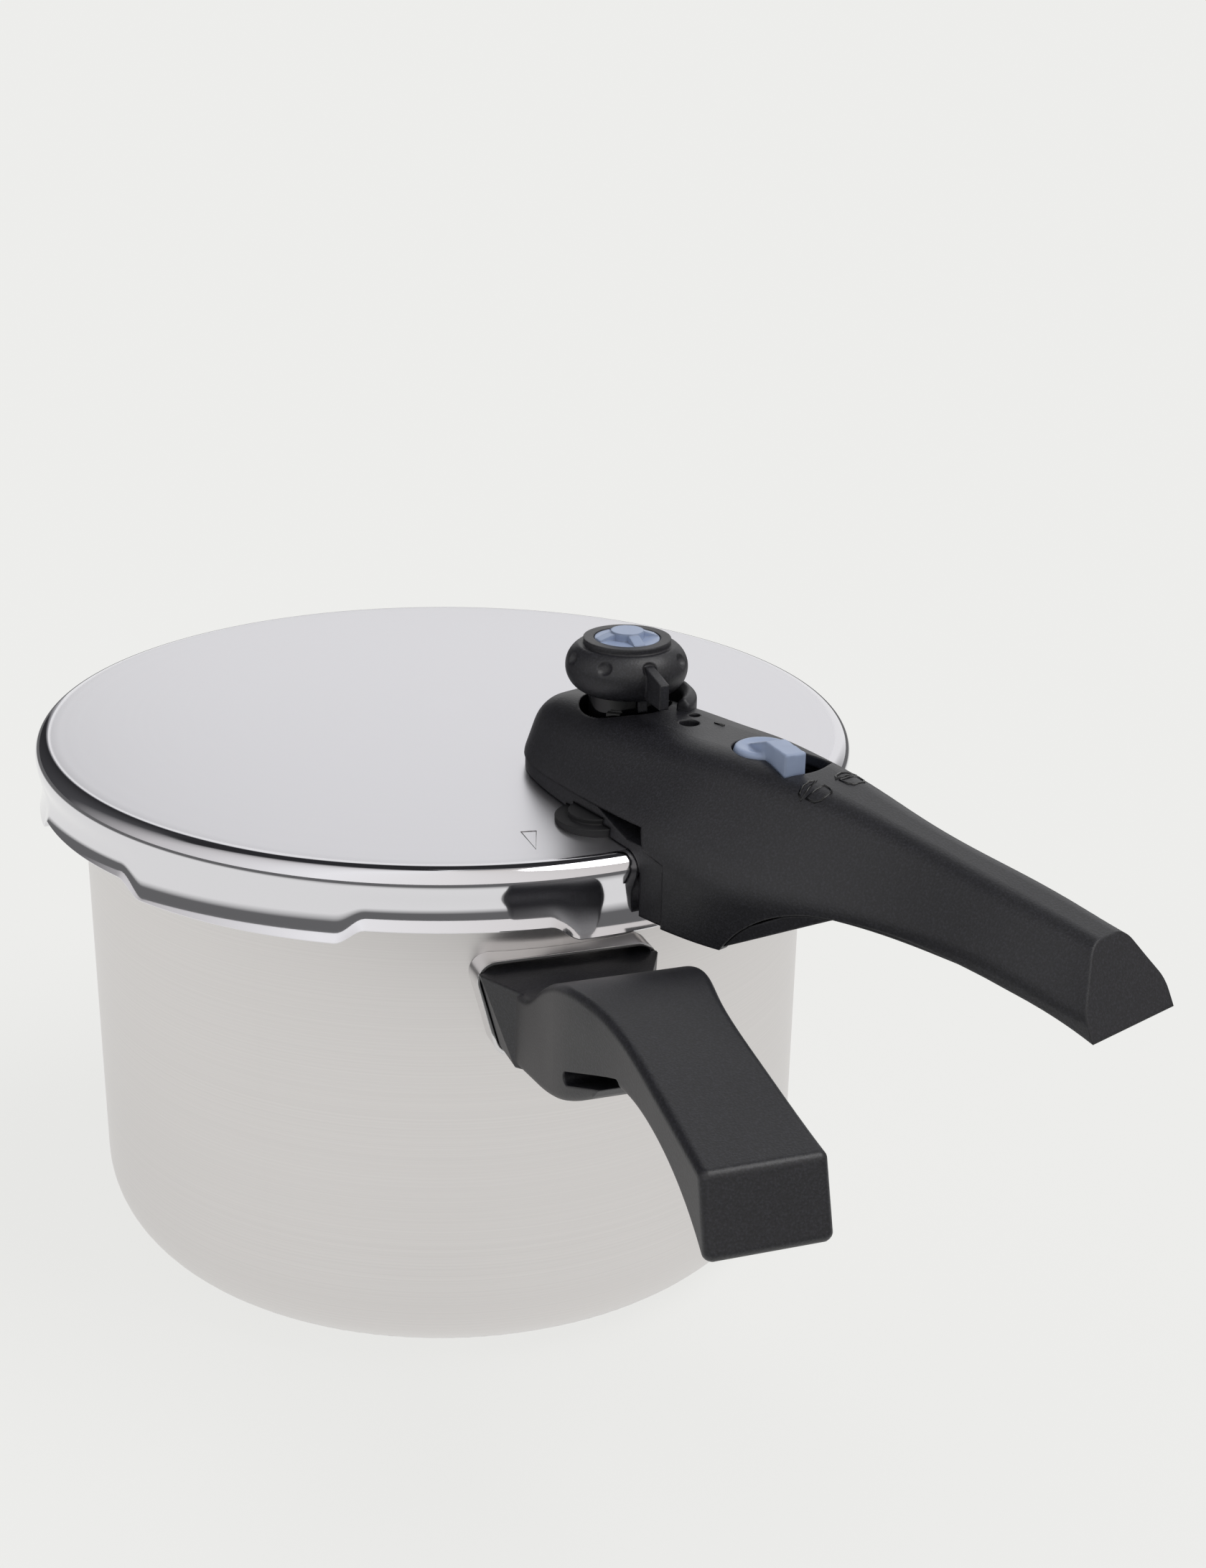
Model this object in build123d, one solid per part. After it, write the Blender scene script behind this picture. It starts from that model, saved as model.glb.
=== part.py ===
from build123d import *
import os
from math import cos, pi, radians, sin, sqrt

# Stovetop pressure cooker, millimetres, +Z up, +X along the pan handle.
# The origin is the centre of the base, on the surface that the pan stands on.

# Pan
PAN_RADIUS = 101.0
PAN_WALL = 1.2
RIM_HEIGHT = 141.0
RIM_WIDTH = 2.2
CORNER_RADIUS = 25.0
BASE_THICKNESS = 5.0
BASE_CAP_WALL = 0.8

# Bayonet
LUG_COUNT = 6
PAN_LUG_WIDTH = 8.4
PAN_LUG_ANGLE = 22.0
PAN_LUG_DROP = 8.0
LUG_CLEARANCE = 1.3
LID_GAP_ANGLE = 27.0
LID_LUG_STEP = 4.0
LID_LUG_ROUND = 1.9
LID_GAP_CENTRE = -15.0

# Lid
LID_WALL = 1.2
LID_CROWN = 4.0
SKIRT_CLEARANCE = 1.4
LIP_CLEARANCE = 1.0
BEAD_RADIUS = 4.5
BEAD_PROUD = 0.9
RING_HEIGHT = 7.6
RING_CLEARANCE = 0.3
RING_SIDE_CLEARANCE = 0.5
RING_LIP = 2.2
RING_OVERLAP = 0.4
RING_HEADROOM = 0.6
RING_SHOULDER = 1.0

# Lid handle, along its own +X before it is turned to its place
LID_HANDLE_ANGLE = 23.0
HANDLE_WALL = 2.6
HANDLE_LOW_DOWN = 35.0
HANDLE_HIGH_UP = 35.0
NOSE_IN = 67.5
SEAM_UP = 2.5
SEAM_END_IN = 4.0
SEAM_DROP = 4.7
SEAM_DROP_OUT = 2.5
RIM_EDGE_DROP = 6.7
WINDOW_IN = 22.0
RIM_EDGE_OUT = 6.0
APRON_DOWN = 20.6
APRON_END_OUT = 24.0
ARCH_END_OUT = 48.0
ARCH_CROWN_OUT = 8.5
ARCH_CROWN_UP = 9.0
GRIP_SWEEP = 35.0
GRIP_SWEEP_UP = 0.2
GRIP_LOW_DOWN = 6.4
GRIP_END_OUT = 123.5
GRIP_END_LOW_DOWN = 12.3
GRIP_END_LEAN = 0.5
GRIP_LOW_SLOPE = 0.3
GRIP_FILL = 9.0
SEAM_GAP = 0.15
LID_GAP = 0.35
BASE_PLATE = 3.0
SIDE_INSET = 0.5
FLOOR_UP = 0.6
GRIP_PLATE_MID = 40.0
GRIP_PLATE_SAG = 0.3
GRIP_PLATE_UP = 0.8
STRIP_HEIGHT = 1.6

# Pressure valve on the vent pipe
VENT_IN = 39.8
VENT_RADIUS = 4.5
VENT_BORE = 1.6
VENT_TOP_UP = 17.0
VENT_TAIL = 9.0
VENT_FLANGE = 13.0
VENT_FLANGE_HEIGHT = 4.0
WASHER_RADIUS = 7.6
WASHER_HEIGHT = 1.2
NUT_HEIGHT = 4.0
SHIELD_RADIUS = 9.0
SHIELD_HEIGHT = 8.0
SHIELD_WALL = 0.8
SHIELD_HOLE = 1.4
SHIELD_HOLE_PAIRS = 4
VALVE_HOLE_GAP = 0.8
RUNNING_GAP = 0.1
COLLAR_RADIUS = 9.6
COLLAR_HEIGHT = 10.0
COLLAR_LOW = 4.0
COLLAR_TAB = 1.6
COLLAR_TAB_HALF_WIDTH = 1.8
COLLAR_TAB_HEIGHT = 6.5
COLLAR_TAB_COUNT = 3
VALVE_CHAMBER = 5.4
KNOB_RADIUS = 15.7
KNOB_FOOT_RADIUS = 11.3
KNOB_RIM_RADIUS = 11.2
KNOB_HEIGHT = 13.5
KNOB_RIM_HEIGHT = 1.6
KNOB_RIM_STEP = 1.2
KNOB_WIDEST_UP = 6.2
DIMPLE_COUNT = 8
DIMPLE_RADIUS = 2.4
DIMPLE_DEPTH = 1.2
DIMPLE_TILT = 29.0
FIN_REACH = 23.9
FIN_WIDTH = 2.4
FIN_ANGLE = -20.0
FIN_LOW_UP = 1.6
FIN_END_HEIGHT = 8.0
FIN_ROOT_HEIGHT = 11.0
FIN_RIB = 1.0
CAP_RADIUS = 8.3
CAP_DEPTH = 3.0
CAP_PROUD = 1.9
CAP_GAP = 0.25
CAP_PLATE_DOWN = 0.1
CAP_HUB_RADIUS = 4.2
CHAMBER_ROOF = 1.4
SPOKE_COUNT = 4
SPOKE_WIDTH = 3.0
SPOKE_PROUD = 1.5
SPOKE_END_PROUD = 0.1
NEEDLE_GAP = 0.4
NEEDLE_SEAT_GAP = 0.3
NEEDLE_HEIGHT = 7.6
NEEDLE_CONE = 4.0
NEEDLE_PEG_HEIGHT = 3.0
NEEDLE_PEG_GAP = 0.6
SPRING_WIRE = 0.8
SPRING_RADIUS = 3.9
SPRING_TURNS = 5

# Safety plug and pressure indicator
PLUG_IN = 24.5
PLUG_Y = -24.0
PLUG_RADIUS = 10.3
PLUG_TOP_RADIUS = 7.0
PLUG_RIM_HEIGHT = 1.4
PLUG_HEIGHT = 2.8
PLUG_STEM = 4.8
PLUG_FLANGE = 6.4
PLUG_FLANGE_HEIGHT = 2.6
INDICATOR_IN = 16.5
INDICATOR_RADIUS = 2.0
INDICATOR_GAP = 0.3
INDICATOR_HOLE = 2.6
STEAM_HOLE = 1.5
STEAM_HOLE_IN = 3.4
STEAM_HOLE_Y = 5.2
INDICATOR_LIFT = 4.0
INDICATOR_TOP_UP = 16.5
SEAL_WALL = 1.2

# Lid lock, a lever that turns on its own pivot
LOCK_OUT = 9.3
LOCK_SWING = 38.0
LOCK_RADIUS = 7.5
LOCK_GAP = 0.4
LOCK_ROUND = 2.2
LOCK_TOP_UP = 21.0
LOCK_SKIN = 2.0
LUG_TOP_UP = 24.2
LUG_REACH = 16.6
LUG_HALF_WIDTH = 2.8
LUG_BACK = 3.3
LUG_SLOPE = 9.0
LUG_ROUND = 0.8
LOCK_STEM_RADIUS = 4.0
LOCK_WEB_UP = 11.0
LOCK_WEB_THICKNESS = 3.5
LOCK_WEB_HALF_LENGTH = 7.0
LOCK_END_PLAY = 0.3
CAM_THICKNESS = 2.0
CAM_RADIUS = 5.5
FINGER_OUT = 6.5
FINGER_HALF_WIDTH = 2.5
FINGER_LOW_DOWN = 16.0
FINGER_ROOM = 3.0
RIVET_RADIUS = 1.6
RIVET_HEAD_HEIGHT = 1.2

# Tongue and screws of the lid handle
TONGUE_DOWN = 13.8
TONGUE_THICKNESS = 1.5
TONGUE_END_OUT = 21.0
TONGUE_HALF_WIDTH = 18.0
TONGUE_ANGLE = 22.0
HANDLE_SCREW_OUT = 14.0
HANDLE_SCREW_Y = 13.0
HANDLE_SCREW_RADIUS = 1.75
HANDLE_SCREW_END_UP = 3.0
BOSS_WALL = 2.6
NOSE_SCREW_IN = 59.5
GRIP_SCREW_OUT = 93.0
COVER_SCREW_RADIUS = 1.4
COVER_SCREW_LENGTH = 10.0
HEAD_HEIGHT = 1.6
HANDLE_HEAD_UP = 3.4
HEAD_RECESS = 1.0

# Pan handle
CUP_TOP_DOWN = 16.7
CUP_LOW_DOWN = 43.0
CUP_TOP_HALF_WIDTH = 25.0
CUP_LOW_HALF_WIDTH = 18.4
CUP_FRONT_OUT = 4.5
CUP_WALL = 0.9
CUP_CORNER = 5.0
CUP_GAP = 0.2
SHOULDER_END_OUT = 17.0
SHOULDER_HALF_WIDTH = 17.6
SHOULDER_DROP = 2.6
SLOPE_OUT = 32.0
SLOPE_DOWN = 12.6
HUMP_OUT = 51.0
HUMP_DOWN = 2.8
HUMP_RUN = 20.0
HUMP_RISE = 0.6
HUMP_PLAN_IN = 6.0
HUMP_PLAN_OUT = 16.0
HUMP_HALF_WIDTH = 14.6
HANDLE_TOP_END_OUT = 128.0
HANDLE_TOP_END_DOWN = 10.0
HANDLE_LOW_END_OUT = 134.5
HANDLE_LOW_END_DOWN = 32.1
WAIST_OUT = 96.0
WAIST_HALF_WIDTH = 13.6
END_HALF_WIDTH = 14.7
ARM_THICKNESS = 10.4
ARM_RISE = 4.4
HOOK_OUT = 65.0
HOOK_DOWN = 24.4
HOOK_SLOT = 3.4
HOOK_SLOT_REACH = 12.0
HOOK_SLOT_LOW = 0.8
HOOK_SLOT_HIGH = 8.6
HOOK_NOTCH_OUT = 6.0
HOOK_NOTCH_UP = 6.8
BELLY_IN = 14.0
BELLY_DOWN = 7.8
BELLY_ROOT_IN = 30.0
BELLY_ROOT_DOWN = 12.6
GRIP_EDGE_ROUND = 2.0
PAN_SCREW_DOWN = 28.5
PAN_SCREW_RADIUS = 2.0
PAN_SCREW_LENGTH = 26.0
PAN_BOSS_RADIUS = 4.5
PAN_BOSS_LENGTH = 10.0
PAN_HEAD_RADIUS = 3.4
PAN_HEAD_HEIGHT = 2.8
DRIVER_SLOT = 0.9

# Sizes that follow from the ones above
PAN_LUG_RADIUS = PAN_RADIUS + PAN_LUG_WIDTH
LUG_LOW_Z = RIM_HEIGHT - PAN_LUG_DROP
SKIRT_RADIUS = PAN_LUG_RADIUS + SKIRT_CLEARANCE + LID_WALL
LIP_RADIUS = PAN_RADIUS + RIM_WIDTH + LIP_CLEARANCE
LIP_LOW_Z = LUG_LOW_Z - LUG_CLEARANCE - LID_WALL
BEAD_CENTRE_R = SKIRT_RADIUS + BEAD_PROUD - BEAD_RADIUS
LID_EDGE_Z = RIM_HEIGHT + RING_HEIGHT + 2 * RING_CLEARANCE + LID_WALL + RING_HEADROOM
BEAD_CENTRE_Z = LID_EDGE_Z - BEAD_RADIUS
LID_TOP_Z = LID_EDGE_Z + LID_CROWN
DOME_RADIUS = (BEAD_CENTRE_R ** 2 + LID_CROWN ** 2) / (2 * LID_CROWN)
NOSE_X = SKIRT_RADIUS - NOSE_IN
SEAM_END_X = SKIRT_RADIUS - SEAM_END_IN
WINDOW_X = SKIRT_RADIUS - WINDOW_IN
VENT_X = SKIRT_RADIUS - VENT_IN
PLUG_X = SKIRT_RADIUS - PLUG_IN
INDICATOR_X = SKIRT_RADIUS - INDICATOR_IN
NOSE_SCREW_X = SKIRT_RADIUS - NOSE_SCREW_IN
LOCK_X = SKIRT_RADIUS + LOCK_OUT
RIM_EDGE_X = SKIRT_RADIUS + RIM_EDGE_OUT
APRON_END_X = SKIRT_RADIUS + APRON_END_OUT
ARCH_END_X = SKIRT_RADIUS + ARCH_END_OUT
GRIP_END_X = SKIRT_RADIUS + GRIP_END_OUT
TONGUE_END_X = SKIRT_RADIUS + TONGUE_END_OUT
HANDLE_SCREW_X = SKIRT_RADIUS + HANDLE_SCREW_OUT
GRIP_SCREW_X = SKIRT_RADIUS + GRIP_SCREW_OUT
HANDLE_HIGH = LID_TOP_Z + HANDLE_HIGH_UP
SEAM_Z = LID_TOP_Z + SEAM_UP
VENT_TOP_Z = LID_TOP_Z + VENT_TOP_UP
INDICATOR_TOP_Z = LID_TOP_Z + INDICATOR_TOP_UP
LOCK_WEB_Z = LID_TOP_Z + LOCK_WEB_UP
LOCK_LOW_Z = LOCK_WEB_Z + LOCK_WEB_THICKNESS + LOCK_END_PLAY
LOCK_TOP_Z = LID_TOP_Z + LOCK_TOP_UP
LUG_TOP_Z = LID_TOP_Z + LUG_TOP_UP
CAM_TOP_Z = LOCK_WEB_Z - LOCK_END_PLAY
CAM_Z = CAM_TOP_Z - CAM_THICKNESS
HANDLE_SCREW_END_Z = LID_TOP_Z + HANDLE_SCREW_END_UP
HANDLE_HEAD_Z = LID_TOP_Z - APRON_DOWN + HANDLE_HEAD_UP
HANDLE_LOW = LID_TOP_Z - HANDLE_LOW_DOWN
APRON_Z = LID_TOP_Z - APRON_DOWN
GRIP_LOW_Z = LID_TOP_Z - GRIP_LOW_DOWN
GRIP_END_LOW_Z = LID_TOP_Z - GRIP_END_LOW_DOWN
FINGER_LOW_Z = LID_TOP_Z - FINGER_LOW_DOWN
TONGUE_Z = LID_TOP_Z - TONGUE_DOWN
TONGUE_TOP_Z = TONGUE_Z + TONGUE_THICKNESS
CUP_FRONT_X = PAN_RADIUS + CUP_FRONT_OUT
SHOULDER_END_X = PAN_RADIUS + SHOULDER_END_OUT
HUMP_X = PAN_RADIUS + HUMP_OUT
HANDLE_TOP_END_X = PAN_RADIUS + HANDLE_TOP_END_OUT
HANDLE_LOW_END_X = PAN_RADIUS + HANDLE_LOW_END_OUT
WAIST_X = PAN_RADIUS + WAIST_OUT
HOOK_X = PAN_RADIUS + HOOK_OUT
CUP_TOP_Z = RIM_HEIGHT - CUP_TOP_DOWN
CUP_LOW_Z = RIM_HEIGHT - CUP_LOW_DOWN
HUMP_Z = RIM_HEIGHT - HUMP_DOWN
HANDLE_TOP_END_Z = RIM_HEIGHT - HANDLE_TOP_END_DOWN
HANDLE_LOW_END_Z = RIM_HEIGHT - HANDLE_LOW_END_DOWN
HOOK_Z = RIM_HEIGHT - HOOK_DOWN
PAN_SCREW_Z = RIM_HEIGHT - PAN_SCREW_DOWN
COLLAR_Z = VENT_TOP_Z - COLLAR_LOW
KNOB_Z = COLLAR_Z + COLLAR_HEIGHT
KNOB_TOP_Z = KNOB_Z + KNOB_HEIGHT
CAP_FLOOR_Z = KNOB_TOP_Z - CAP_DEPTH
CHAMBER_TOP_Z = CAP_FLOOR_Z - CHAMBER_ROOF
NEEDLE_Z = VENT_TOP_Z + NEEDLE_SEAT_GAP
NEEDLE_RADIUS = VALVE_CHAMBER - NEEDLE_GAP
SPRING_Z = NEEDLE_Z + NEEDLE_HEIGHT
VALVE_HOLE = COLLAR_RADIUS + COLLAR_TAB + VALVE_HOLE_GAP

# Lid handle sections: place out from the skirt, half width and height over the lid at the knee, then on top
HANDLE_SECTIONS = [
    (-NOSE_IN, 9.0, 3.0, 5.0, 10.5),
    (-64.0, 13.5, 3.0, 7.5, 15.0),
    (-58.0, 18.0, 3.0, 10.0, 18.0),
    (-48.0, 22.0, 2.5, 12.5, 19.2),
    (-33.0, 25.5, 2.0, 13.5, 19.7),
    (-17.0, 28.5, 1.5, 13.0, 19.7),
    (-4.0, 30.0, 1.0, 12.0, 19.9),
    (10.0, 30.0, -1.0, 11.0, 20.1),
    (24.0, 28.0, -3.0, 10.0, 19.3),
    (38.0, 23.5, -3.5, 9.0, 17.7),
    (53.0, 18.5, -3.5, 7.5, 15.3),
    (78.0, 15.3, -2.5, 6.5, 11.6),
    (103.0, 14.6, -4.0, 6.0, 8.0),
    (120.0, 14.6, -6.4, 6.0, 5.1),
    (138.0, 14.6, -9.0, 6.0, 2.0),
]


# Shared shapes
def side_face(edges):
    """Face of an outline drawn as distance from the axis and height."""
    return Plane.XZ * make_face(edges)


def side_prism(points, half_width):
    """Prism of a side outline, drawn in X and Z and centred on Y = 0."""
    face = make_face(Polyline(*points, close=True))
    return extrude(Plane.XZ * face, half_width, both=True)


def rod(radius, low, high, x=0.0, y=0.0):
    """Upright cylinder between two heights."""
    return Pos(x, y, low) * Cylinder(radius, high - low, align=(Align.CENTER, Align.CENTER, Align.MIN))


def rod_x(radius, start, end, z):
    """Cylinder along X between two places."""
    turned = Rot(0, 90, 0) * Cylinder(radius, end - start, align=(Align.CENTER, Align.CENTER, Align.MIN))
    return Pos(start, 0, z) * turned


def slab(x_low, x_high, half_width, low, high):
    """Block centred on Y = 0."""
    block = Box(x_high - x_low, 2 * half_width, high - low, align=(Align.MIN, Align.CENTER, Align.MIN))
    return Pos(x_low, 0, low) * block


def hexagon(across_flats, low, high, x):
    """Hexagonal prism between two heights."""
    face = RegularPolygon(across_flats / 2, 6, major_radius=False)
    return extrude(Pos(x, 0, low) * face, high - low)


def around(shape, count):
    """Copies of a shape, evenly spaced about the axis."""
    return [Rot(0, 0, index * 360 / count) * shape for index in range(count)]


def to_lid_handle(shape):
    """Turn a shape from the handle's own X to its place on the lid."""
    return Rot(0, 0, LID_HANDLE_ANGLE) * shape


# Pan
def corner_r(radius, height):
    """Distance from the axis where the bottom corner's arc reaches a height."""
    centre = PAN_RADIUS - CORNER_RADIUS
    return centre + sqrt(radius ** 2 - (CORNER_RADIUS - height) ** 2)


def corner_arc(radius, low, high):
    """Stretch of the bottom corner's arc between two heights."""
    middle = 0.6 * low + 0.4 * high
    return ThreePointArc(
        (corner_r(radius, low), low), (corner_r(radius, middle), middle), (corner_r(radius, high), high)
    )


def pan_lug():
    """One turned-down bayonet lug of the pan's rim."""
    points = [
        (PAN_RADIUS - PAN_WALL / 2, RIM_HEIGHT - PAN_WALL),
        (PAN_LUG_RADIUS - PAN_WALL, RIM_HEIGHT - PAN_WALL),
        (PAN_LUG_RADIUS - PAN_WALL, LUG_LOW_Z),
        (PAN_LUG_RADIUS, LUG_LOW_Z),
        (PAN_LUG_RADIUS, RIM_HEIGHT),
        (PAN_RADIUS - PAN_WALL / 2, RIM_HEIGHT),
    ]
    swept = revolve(side_face(Polyline(*points, close=True)), Axis.Z, PAN_LUG_ANGLE)
    return Rot(0, 0, LID_GAP_CENTRE - PAN_LUG_ANGLE / 2) * swept


def pan_body():
    inner = CORNER_RADIUS - PAN_WALL
    floor = BASE_THICKNESS + PAN_WALL
    outline = Polyline(
        (PAN_RADIUS, CORNER_RADIUS),
        (PAN_RADIUS, RIM_HEIGHT - PAN_WALL),
        (PAN_RADIUS + RIM_WIDTH, RIM_HEIGHT - PAN_WALL),
        (PAN_RADIUS + RIM_WIDTH, RIM_HEIGHT),
        (PAN_RADIUS - PAN_WALL, RIM_HEIGHT),
        (PAN_RADIUS - PAN_WALL, CORNER_RADIUS),
    )
    bottom = Polyline(
        (corner_r(inner, floor), floor), (0, floor), (0, BASE_THICKNESS),
        (corner_r(CORNER_RADIUS, BASE_THICKNESS), BASE_THICKNESS)
    )
    edges = [
        *outline.edges(),
        corner_arc(inner, floor, CORNER_RADIUS),
        *bottom.edges(),
        corner_arc(CORNER_RADIUS, BASE_THICKNESS, CORNER_RADIUS),
    ]
    return revolve(side_face(edges), Axis.Z) + around(pan_lug(), LUG_COUNT)


def base_disc():
    radius = CORNER_RADIUS - BASE_CAP_WALL
    outline = Polyline(
        (corner_r(radius, BASE_THICKNESS), BASE_THICKNESS), (0, BASE_THICKNESS), (0, BASE_CAP_WALL),
        (corner_r(radius, BASE_CAP_WALL), BASE_CAP_WALL)
    )
    return revolve(side_face([*outline.edges(), corner_arc(radius, BASE_CAP_WALL, BASE_THICKNESS)]), Axis.Z)


def base_cap():
    outline = Polyline(
        (corner_r(CORNER_RADIUS, BASE_THICKNESS), BASE_THICKNESS), (0, BASE_THICKNESS), (0, 0),
        (corner_r(CORNER_RADIUS, 0), 0)
    )
    full = revolve(side_face([*outline.edges(), corner_arc(CORNER_RADIUS, 0, BASE_THICKNESS)]), Axis.Z)
    return full - base_disc()


# Pan handle
def cup_prism(inset, start, end, rise=0.0):
    """Prism of the bracket's outline along X, drawn in by an inset, with its sides run on up by a rise."""
    spread = (CUP_TOP_HALF_WIDTH - CUP_LOW_HALF_WIDTH) / (CUP_TOP_Z - CUP_LOW_Z)
    top = CUP_TOP_HALF_WIDTH - inset + rise * spread
    points = [
        (-CUP_LOW_HALF_WIDTH + inset, CUP_LOW_Z + inset),
        (CUP_LOW_HALF_WIDTH - inset, CUP_LOW_Z + inset),
        (top, CUP_TOP_Z - inset + rise),
        (-top, CUP_TOP_Z - inset + rise),
    ]
    face = make_face(FilletPolyline(*points, radius=CUP_CORNER - inset, close=True))
    return extrude(Plane.YZ.offset(start) * face, end - start)


def pan_handle_bracket():
    behind = PAN_RADIUS - CUP_TOP_HALF_WIDTH
    cup = cup_prism(0, behind, CUP_FRONT_X)
    pocket = cup_prism(CUP_WALL, behind, CUP_FRONT_X + 1) - rod(PAN_RADIUS + CUP_WALL, 0, RIM_HEIGHT)
    boss = rod_x(PAN_BOSS_RADIUS, PAN_RADIUS - PAN_WALL, PAN_RADIUS + CUP_WALL + PAN_BOSS_LENGTH, PAN_SCREW_Z)
    thread = rod_x(PAN_SCREW_RADIUS, PAN_RADIUS + CUP_WALL, CUP_FRONT_X + PAN_BOSS_LENGTH, PAN_SCREW_Z)
    return cup - pocket + boss - thread - rod(PAN_RADIUS, 0, RIM_HEIGHT)


def pan_handle_side():
    """Side outline of the grip: shoulder, hump, arm, end and hook."""
    root_x = PAN_RADIUS - CUP_TOP_HALF_WIDTH
    root_low = CUP_LOW_Z + CUP_WALL + CUP_GAP
    shoulder = (SHOULDER_END_X, CUP_TOP_Z - SHOULDER_DROP)
    slope = (PAN_RADIUS + SLOPE_OUT, RIM_HEIGHT - SLOPE_DOWN)
    hump = (HUMP_X, HUMP_Z)
    hump_end = (HUMP_X + HUMP_RUN, HUMP_Z + HUMP_RISE)
    top_end = (HANDLE_TOP_END_X, HANDLE_TOP_END_Z)
    low_end = (HANDLE_LOW_END_X, HANDLE_LOW_END_Z)
    arm_low = (WAIST_X, HANDLE_TOP_END_Z + ARM_RISE - ARM_THICKNESS)
    notch = (HOOK_X + HOOK_NOTCH_OUT, HOOK_Z + HOOK_NOTCH_UP)
    hook = (HOOK_X, HOOK_Z)
    belly = (HOOK_X - BELLY_IN, HOOK_Z - BELLY_DOWN)
    belly_root = (HOOK_X - BELLY_ROOT_IN, HOOK_Z - BELLY_ROOT_DOWN)
    back = Polyline(belly_root, (CUP_FRONT_X, root_low), (root_x, root_low), (root_x, shoulder[1]), shoulder)
    return [
        Spline(shoulder, slope, hump, hump_end, top_end, tangents=[(1, 0), (1, -0.13)]),
        Line(top_end, low_end),
        ThreePointArc(low_end, arm_low, notch),
        Line(notch, hook),
        ThreePointArc(hook, belly, belly_root),
        *back.edges(),
    ]


def pan_handle_plan():
    """Plan outline of the grip: wide root, waist and squared end."""
    root_x = PAN_RADIUS - CUP_TOP_HALF_WIDTH
    end_x = HANDLE_LOW_END_X + 1
    root = CUP_TOP_HALF_WIDTH - CUP_WALL - CUP_GAP
    waist = [
        (HUMP_X - HUMP_PLAN_IN, SHOULDER_HALF_WIDTH), (HUMP_X + HUMP_PLAN_OUT, HUMP_HALF_WIDTH),
        (WAIST_X, WAIST_HALF_WIDTH), (end_x, END_HALF_WIDTH)
    ]
    near = [
        Polyline((root_x, root), (CUP_FRONT_X, root), (SHOULDER_END_X, SHOULDER_HALF_WIDTH), waist[0]),
        Spline(*waist, tangents=[(1, 0), (1, 0.05)]),
    ]
    far = [mirror(edge, Plane.XZ) for edge in near]
    ends = [Line((root_x, -root), (root_x, root)), Line((end_x, -END_HALF_WIDTH), (end_x, END_HALF_WIDTH))]
    return [edge for curve in near + far + ends for edge in curve.edges()]


def hook_slot():
    """Open slot with round ends across the hook."""
    start = Vector(HOOK_X - HOOK_SLOT_REACH, 0, HOOK_Z - HOOK_SLOT_LOW)
    end = Vector(HOOK_X + HOOK_SLOT_REACH, 0, HOOK_Z + HOOK_SLOT_HIGH)
    face = make_face(SlotCenterToCenter((end - start).length, HOOK_SLOT).wire())
    plane = Plane((start + end) / 2, x_dir=end - start, z_dir=(0, -1, 0))
    return extrude(plane * face, 2 * CUP_TOP_HALF_WIDTH, both=True)


def beside_root(end, rise):
    """Everything up to a place along X that is outside the bracket's pocket, its sides run on up by a rise."""
    block = slab(0, end, 2 * CUP_TOP_HALF_WIDTH, 0, RIM_HEIGHT)
    return block - cup_prism(CUP_WALL + CUP_GAP, 0, 2 * end, rise)


def pan_handle():
    side = extrude(Plane.XZ * make_face(pan_handle_side()), CUP_TOP_HALF_WIDTH, both=True)
    plan = extrude(make_face(pan_handle_plan()), RIM_HEIGHT + HANDLE_LOW)
    grip = side & plan
    long_edges = grip.edges().filter_by(lambda edge: edge.center().X > HUMP_X and edge.length > ARM_THICKNESS)
    grip = fillet(long_edges, GRIP_EDGE_ROUND)
    boss_end = PAN_RADIUS + CUP_WALL + PAN_BOSS_LENGTH
    head_x = PAN_RADIUS + CUP_WALL + PAN_SCREW_LENGTH
    grip -= hook_slot()
    grip -= beside_root(CUP_FRONT_X + CUP_GAP, 0)
    grip -= beside_root(HUMP_X, RIM_HEIGHT - CUP_TOP_Z + 2 * CUP_CORNER)
    grip -= rod(PAN_RADIUS + CUP_WALL + CUP_GAP, 0, RIM_HEIGHT)
    grip -= rod_x(PAN_BOSS_RADIUS + CUP_GAP, 0, boss_end + CUP_GAP, PAN_SCREW_Z)
    grip -= rod_x(PAN_SCREW_RADIUS + CUP_GAP, 0, head_x, PAN_SCREW_Z)
    grip -= rod_x(PAN_HEAD_RADIUS + CUP_GAP, head_x, WAIST_X, PAN_SCREW_Z)
    return grip.solids().sort_by(SortBy.VOLUME)[-1]


def pan_handle_screw():
    tip = PAN_RADIUS + 2 * CUP_WALL
    head_x = PAN_RADIUS + CUP_WALL + PAN_SCREW_LENGTH
    end = head_x + PAN_HEAD_HEIGHT
    head = rod_x(PAN_HEAD_RADIUS, head_x, end, PAN_SCREW_Z)
    driver = slab(head_x + PAN_HEAD_HEIGHT / 2, end, PAN_SCREW_RADIUS, -DRIVER_SLOT / 2, DRIVER_SLOT / 2)
    cross = [Pos(0, 0, PAN_SCREW_Z) * driver, Pos(0, 0, PAN_SCREW_Z) * (Rot(90, 0, 0) * driver)]
    return rod_x(PAN_SCREW_RADIUS, tip, head_x, PAN_SCREW_Z) + head - cross


# Lid
def dome_z(distance, drop=0.0):
    """Height of the lid's crowned top, or of a surface a drop below it."""
    radius = DOME_RADIUS - drop
    return LID_TOP_Z - DOME_RADIUS + sqrt(radius ** 2 - distance ** 2)


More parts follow.
